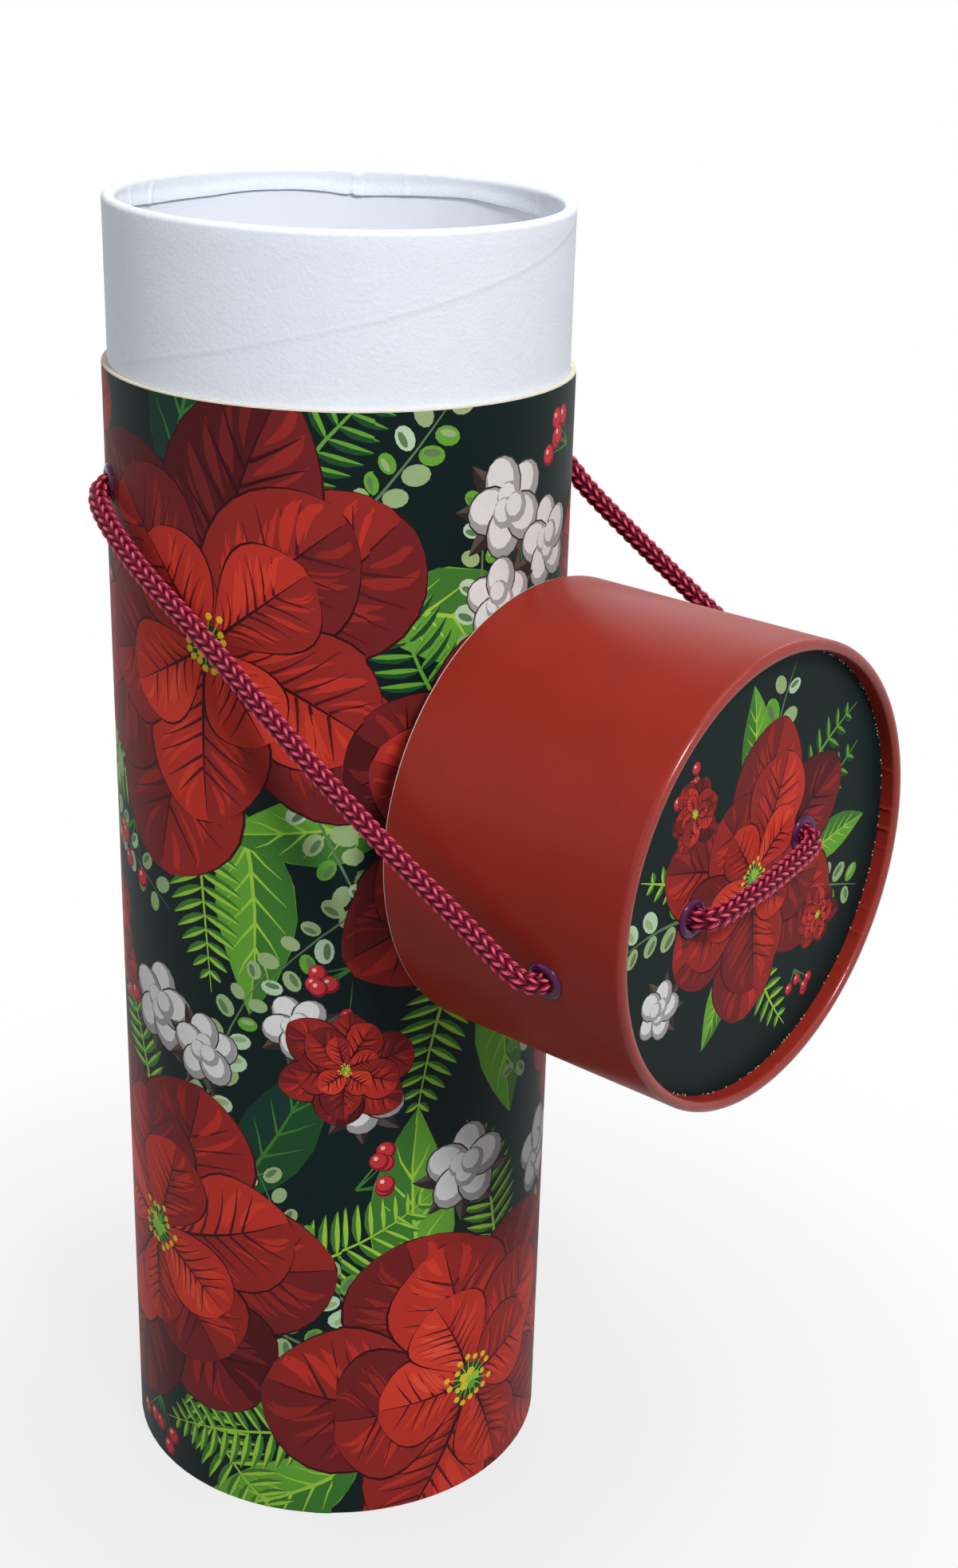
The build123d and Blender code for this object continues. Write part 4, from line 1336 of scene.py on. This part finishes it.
# The routes' points are in millimetres.
cord_routes = {
    "cord_left": [
        (-23.775, -41.18, 235.5), (-24.8, -42.95, 235.4), (-24.8, -44.6, 234.8), (-23.55, -46.2, 233.4),
        (-20.63, -48.13, 231.7), (-15.09, -49.8, 228.3), (-4.26, -51.75, 222.3), (11.3, -50.8, 213.0),
        (33.0, -48.3, 195.8), (56.0, -45.7, 179.9), (71.5, -43.9, 170.6), (79.3, -43.1, 165.8),
        (83.7, -42.7, 163.0), (87.6, -41.9, 160.6), (89.3, -40.4, 159.75), (90.3, -38.312, 159.398),
        (90.3, -36.097, 159.938),
    ],
    "cord_right": [
        (23.775, 41.18, 235.5), (24.95, 43.21, 235.5), (26.6, 44.7, 234.3), (29.6, 45.6, 230.6),
        (39.0, 47.9, 223.0), (60.0, 52.9, 207.4), (72.5, 56.6, 197.6), (79.1, 59.3, 192.2),
        (84.5, 61.0, 188.2), (87.9, 61.4, 185.6), (89.4, 60.4, 184.2), (90.3, 58.512, 183.002),
        (90.3, 56.297, 182.462),
    ],
    "cord_inside_near": [
        (90.3, -36.05, 159.95), (90.3, -31.63, 161.03), (88.2, -26.6, 161.3), (84.2, -21.6, 161.9),
        (82.6, -15.4, 164.6), (85.4, -11.3, 168.0), (90.6, -11.45, 169.1), (95.6, -11.6, 169.1),
    ],
    "cord_inside_far": [
        (90.3, 56.25, 182.45), (90.3, 51.83, 181.37), (88.3, 46.0, 178.8), (84.6, 40.2, 175.9),
        (82.4, 33.8, 173.9), (84.6, 28.0, 173.9), (90.4, 26.35, 175.35), (95.6, 26.2, 175.5),
    ],
    "cord_handle": [
        (95.65, -11.6, 169.1), (99.0, -11.7, 169.1), (102.9, -11.8, 169.2), (106.33, -11.76, 169.13),
        (108.39, -10.69, 169.3), (109.69, -8.78, 169.6), (110.4, -4.6, 170.4), (110.9, 7.2, 172.3),
        (110.4, 19.1, 174.3), (109.69, 23.22, 175.0), (108.39, 25.13, 175.35), (106.33, 26.2, 175.55),
        (102.9, 26.15, 175.5), (99.0, 26.1, 175.6), (95.65, 26.2, 175.5),
    ],
}


def knit_tree(material):
    """A tube knitted along a route: chains of V stitches stand out of it, with gaps between them. It stores each
    point's lift, which the yarn's colour turns into painted shade in the gaps and a painted highlight on the tops.
    """
    tree, given = new_group("knit", "GeometryNodeTree", {
        "Route": None, "Radius": 2.1 * MM, "Pitch": 2.25 * MM, "Relief": 0.85 * MM, "Step": 0.2 * MM,
        "Columns": 4.0,
    }, {"Cord": None})
    sides = 54
    leg_slope, leg_fullness, chain_fullness = 1.7, 0.75, 0.7
    sunk_share = 0.78
    cut_end = 0.0005

    def captured(shape, **values):
        held = add_node(tree, "GeometryNodeCaptureAttribute", {"Geometry": shape}, domain="POINT")
        for label, value in values.items():
            held.capture_items.new("FLOAT", label)
            set_inputs(held, {label: value})
        return held.outputs

    def stored(shape, label, value):
        values = {"Geometry": shape, "Name": label, "Value": value}
        return result(tree, "GeometryNodeStoreNamedAttribute", values, data_type="FLOAT", domain="POINT")

    spacing = {"Curve": given["Route"], "Length": given["Step"]}
    even = result(tree, "GeometryNodeResampleCurve", spacing, mode="LENGTH")
    travelled = tree.nodes.new("GeometryNodeSplineParameter").outputs
    along = captured(even, along=travelled["Length"], share=travelled["Factor"])
    corner = tree.nodes.new("GeometryNodeInputIndex").outputs[0]
    share = sums(tree, "DIVIDE", corner, float(sides))
    turned = captured(circle(tree, sides, given["Radius"]), around=share)
    tube = result(tree, "GeometryNodeCurveToMesh", {
        "Curve": along[0], "Profile Curve": turned[0], "Fill Caps": True,
    })
    chain = sums(tree, "MULTIPLY", turned[1], given["Columns"])
    off_chain = sums(tree, "ABSOLUTE", sums(tree, "SUBTRACT", sums(tree, "FRACT", chain), 0.5))
    row = sums(tree, "DIVIDE", along[1], given["Pitch"])
    leg = sums(tree, "FRACT", sums(tree, "SUBTRACT", row, sums(tree, "MULTIPLY", off_chain, leg_slope)))
    leg_round = sums(tree, "POWER", sums(tree, "SINE", sums(tree, "MULTIPLY", leg, pi)), leg_fullness)
    side_round = sums(tree, "SINE", sums(tree, "MULTIPLY", off_chain, 2 * pi))
    side_round = sums(tree, "POWER", sums(tree, "MAXIMUM", side_round, 0.0), chain_fullness)
    lift = sums(tree, "MULTIPLY", leg_round, side_round)
    rise = sums(tree, "MULTIPLY", sums(tree, "SUBTRACT", lift, sunk_share), given["Relief"])
    off_end = sums(tree, "GREATER_THAN", sums(tree, "PINGPONG", along[2], 0.5), cut_end)
    rise = sums(tree, "MULTIPLY", rise, off_end)
    outward = tree.nodes.new("GeometryNodeInputNormal").outputs[0]
    push = scaled(tree, outward, rise).outputs[0]
    knitted = result(tree, "GeometryNodeSetPosition", {"Geometry": tube, "Offset": push})
    marked = stored(stored(knitted, "lift", lift), "leg", leg)
    smooth = result(tree, "GeometryNodeSetShadeSmooth", {"Geometry": marked})
    return finished(tree, result(tree, "GeometryNodeRealizeInstances", {0: smooth}), material)


yarn, tree, shader = new_finish("maroon_yarn", paint(150, 22, 66), 0.24)
# The yarn's colour follows the stitch relief: painted shade, dark maroon, in the gaps and a painted pink highlight on
# the stitch tops.
lift = add_node(tree, "ShaderNodeAttribute", attribute_name="lift").outputs["Fac"]
depth = add_node(tree, "ShaderNodeValToRGB", {"Fac": lift})
low, high = depth.color_ramp.elements
low.position, low.color = 0.3, (*paint(58, 4, 20), 1)
high.position, high.color = 0.98, (*paint(236, 100, 124), 1)
depth.color_ramp.elements.new(0.7).color = (*paint(150, 22, 58), 1)
leg = add_node(tree, "ShaderNodeAttribute", attribute_name="leg").outputs["Fac"]
strands_per_leg = 5
strands = sums(tree, "SINE", sums(tree, "MULTIPLY", leg, strands_per_leg * 2 * pi))
relief = result(tree, "ShaderNodeBump", {"Height": strands, "Strength": 0.6, "Distance": 0.06 * MM})
set_inputs(shader, {
    "Base Color": depth.outputs[0], "Normal": relief, "Specular IOR Level": 0.4,
    "Specular Tint": (*paint(255, 150, 170), 1),
})
knit = knit_tree(yarn)


def route_curve(name, route):
    """The smooth line of a cord: a NURBS spline whose controls are the route's points."""
    curve = bpy.data.curves.new(name, "CURVE")
    curve.dimensions = "3D"
    spline = curve.splines.new("NURBS")
    spline.points.add(len(route) - 1)
    for point, place in zip(spline.points, route):
        point.co = (*(c * MM for c in place), 1)
    spline.order_u = 3
    spline.use_endpoint_u = True
    spline.resolution_u = 16
    return set_out(name, curve)


def knitted(name, route):
    """A knitted stretch of cord along a route, the points that it follows, and its length in metres."""
    line = route_curve(name, route)
    bpy.context.view_layer.update()
    traced = bpy.data.meshes.new_from_object(line.evaluated_get(bpy.context.evaluated_depsgraph_get()))
    path = [tuple(v.co) for v in traced.vertices]
    length = sum((Vector(b) - Vector(a)).length for a, b in zip(path, path[1:]))
    bpy.data.meshes.remove(traced)
    stitches = {"Pitch": stitch_pitch * MM, "Columns": float(stitch_columns)}
    piece = grown(name + "_knit", line, knit, stitches)
    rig.slot(piece, "knitted_cord")
    return piece, path, length


# Knots
# Each end runs in through its eyelet, ties an overhand knot against it, and leaves a short tail. The
# knot's line is a trefoil, stretched a little so that its two ends come out apart.
knot_scale = 1.25
knot_lift = 1.9
knot_stretch = 1.15
knot_depth, knot_shift = 9.4, 1.9
knot_points = 26
knots = []
for side, (place, out) in zip(("left", "right"), tube_spots):
    up = Vector((0, 0, 1))
    level = out.cross(up)
    loop = []
    for i in range(knot_points + 1):
        t = pi + 2 * pi * i / knot_points
        x = knot_depth + knot_scale * (sin(t) + 2 * sin(2 * t))
        y = knot_shift + knot_scale * (cos(t) - 2 * cos(2 * t))
        z = knot_lift * (-sin(3 * t) + knot_stretch * (t - 2 * pi) / pi)
        loop.append((x, y, z))
    _, y, z = loop[0]
    stem = [(-0.2, 0, 0), (2.4, 0, 0), (5.0, -0.4, -0.5), (7.2, y + 0.5, z + 0.3)]
    x, y, z = loop[-1]
    tail = [(x + 2.6, y + 0.1, z), (x + 5.4, y + 0.8, z - 1.2)]
    route = [tuple(place - out * x + level * y + up * z) for x, y, z in stem + loop + tail]
    knot, _, _ = knitted("cord_knot_" + side, route)
    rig.ride(knot, "tube")
    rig.replaces(knot, "cord_knot_" + side)
    knots.append(knot)


# Stretches of cord
# Two hang outside between tube and lid, two run inside the lid, and the handle joins its top eyelets. The
# stretches inside follow the handle as it is pulled.
stretches = {
    "cord_left": ("hanger", "hanging", [knots[0]]),
    "cord_right": ("hanger", "hanging", [knots[1]]),
    "cord_inside_near": ("lid", "loose", []),
    "cord_inside_far": ("lid", "loose", []),
    "cord_handle": ("handle", "loose", []),
}
for name, (body, lay, with_pieces) in stretches.items():
    piece, path, length = knitted(name, cord_routes[name])
    if body == "lid":
        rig.blend(piece, "lid", "handle", start=path[len(path) // 3], end=path[-1])
    else:
        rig.ride(piece, body)
    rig.replaces(piece, name)
    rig.cord(piece, exit=path[0], length=length, diameter=cord_diameter * MM, far_end="object",
            stiffness="limp", lay=lay, path=path, with_pieces=with_pieces)


# Floor and light
# A plain pale floor that fades to white away from the object, a soft key light from the upper right, a
# weaker fill from the left, and a little light from above and behind.
def looking(tree):
    """1 for rays that show a thing, straight or in a gloss, and 0 for those that light other things."""
    rays = tree.nodes.new("ShaderNodeLightPath").outputs
    mirrored = sums(tree, "MAXIMUM", rays["Is Glossy Ray"], rays["Is Transmission Ray"])
    return sums(tree, "MAXIMUM", rays["Is Camera Ray"], mirrored)


reach = 6.0
corners = [(-reach, -reach, 0), (reach, -reach, 0), (reach, reach, 0), (-reach, reach, 0)]
floor_mesh = bpy.data.meshes.new("floor")
floor_mesh.from_pydata(corners, [], [(0, 1, 2, 3)])
floor = set_out("floor", floor_mesh)
pale, tree, shader = new_finish("pale_floor", paint(140, 141, 147), 0.8)
place = tree.nodes.new("ShaderNodeTexCoord").outputs["Object"]
distance = add_node(tree, "ShaderNodeVectorMath", {0: place}, operation="LENGTH").outputs["Value"]
# How white the floor looks near the object and far from it, and where the one turns into the other.
near_white, far_white = 0.78, 1.0
fade_start, fade_end = 0.02, 0.24
white = between(
    tree, distance, near_white, far_white, fade_start, fade_end, interpolation_type="SMOOTHSTEP"
)
share = sums(tree, "MULTIPLY", white, looking(tree))
glow = result(tree, "ShaderNodeEmission", {"Color": (1, 1, 1, 1), "Strength": 1.0})
mixed = result(tree, "ShaderNodeMixShader", {0: share, 1: shader.outputs[0], 2: glow})
set_inputs(tree.nodes["Material Output"], {"Surface": mixed})
floor_mesh.materials.append(pale)
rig.stage(floor)

camera_place = Vector((0.33153, -0.34438, 0.35483))
camera_right = Vector((0.76866, 0.6387, 0.03496))
camera_down = Vector((0.28249, -0.28993, -0.91441))
camera_ahead = Vector((-0.5739, 0.71275, -0.40328))
camera = bpy.data.cameras.new("camera")
camera.lens = 52.464
camera.sensor_width = 36.0
camera.shift_x = -0.02919
camera.shift_y = 0.05434
viewer = set_out("camera", camera)
turned = Matrix((camera_right, -camera_down, -camera_ahead)).transposed().to_4x4()
viewer.matrix_world = Matrix.Translation(camera_place) @ turned
bpy.context.scene.camera = viewer

# Each lamp's place from the target, its width in metres and its power.
target = Vector((0.03, 0.0, 0.17))
for name, offset, size, watts in (
    ("key_light", Vector((0.9, -0.36, 1.0)), 0.3, 16.4),
    ("fill_light", Vector((-0.7, -1.0, 0.6)), 0.9, 3.0),
    ("top_light", Vector((0.1, 0.2, 1.2)), 0.8, 3.4),
    ("back_light", Vector((-0.75, 0.9, 0.6)), 0.9, 3.4),
):
    lamp = bpy.data.lights.new(name, "AREA")
    lamp.shape = "DISK"
    lamp.size = size
    lamp.energy = watts
    light = set_out(name, lamp)
    light.location = target + offset
    light.rotation_euler = (-offset).to_track_quat("-Z", "Y").to_euler()

world = bpy.data.worlds.new("white_room")
world.use_nodes = True
bpy.context.scene.world = world
tree = world.node_tree
lit_by_room = 0.25
strength = sums(tree, "MULTIPLY_ADD", looking(tree), 1 - lit_by_room, lit_by_room)
set_inputs(tree.nodes["Background"], {"Strength": strength, "Color": (1, 1, 1, 1)})
bpy.context.scene.view_settings.view_transform = "Standard"

with open("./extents.json", "w") as report:
    json.dump({"cad": [list(corner) for corner in cad_box], "visual": [list(corner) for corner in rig.bounds()]}, report)
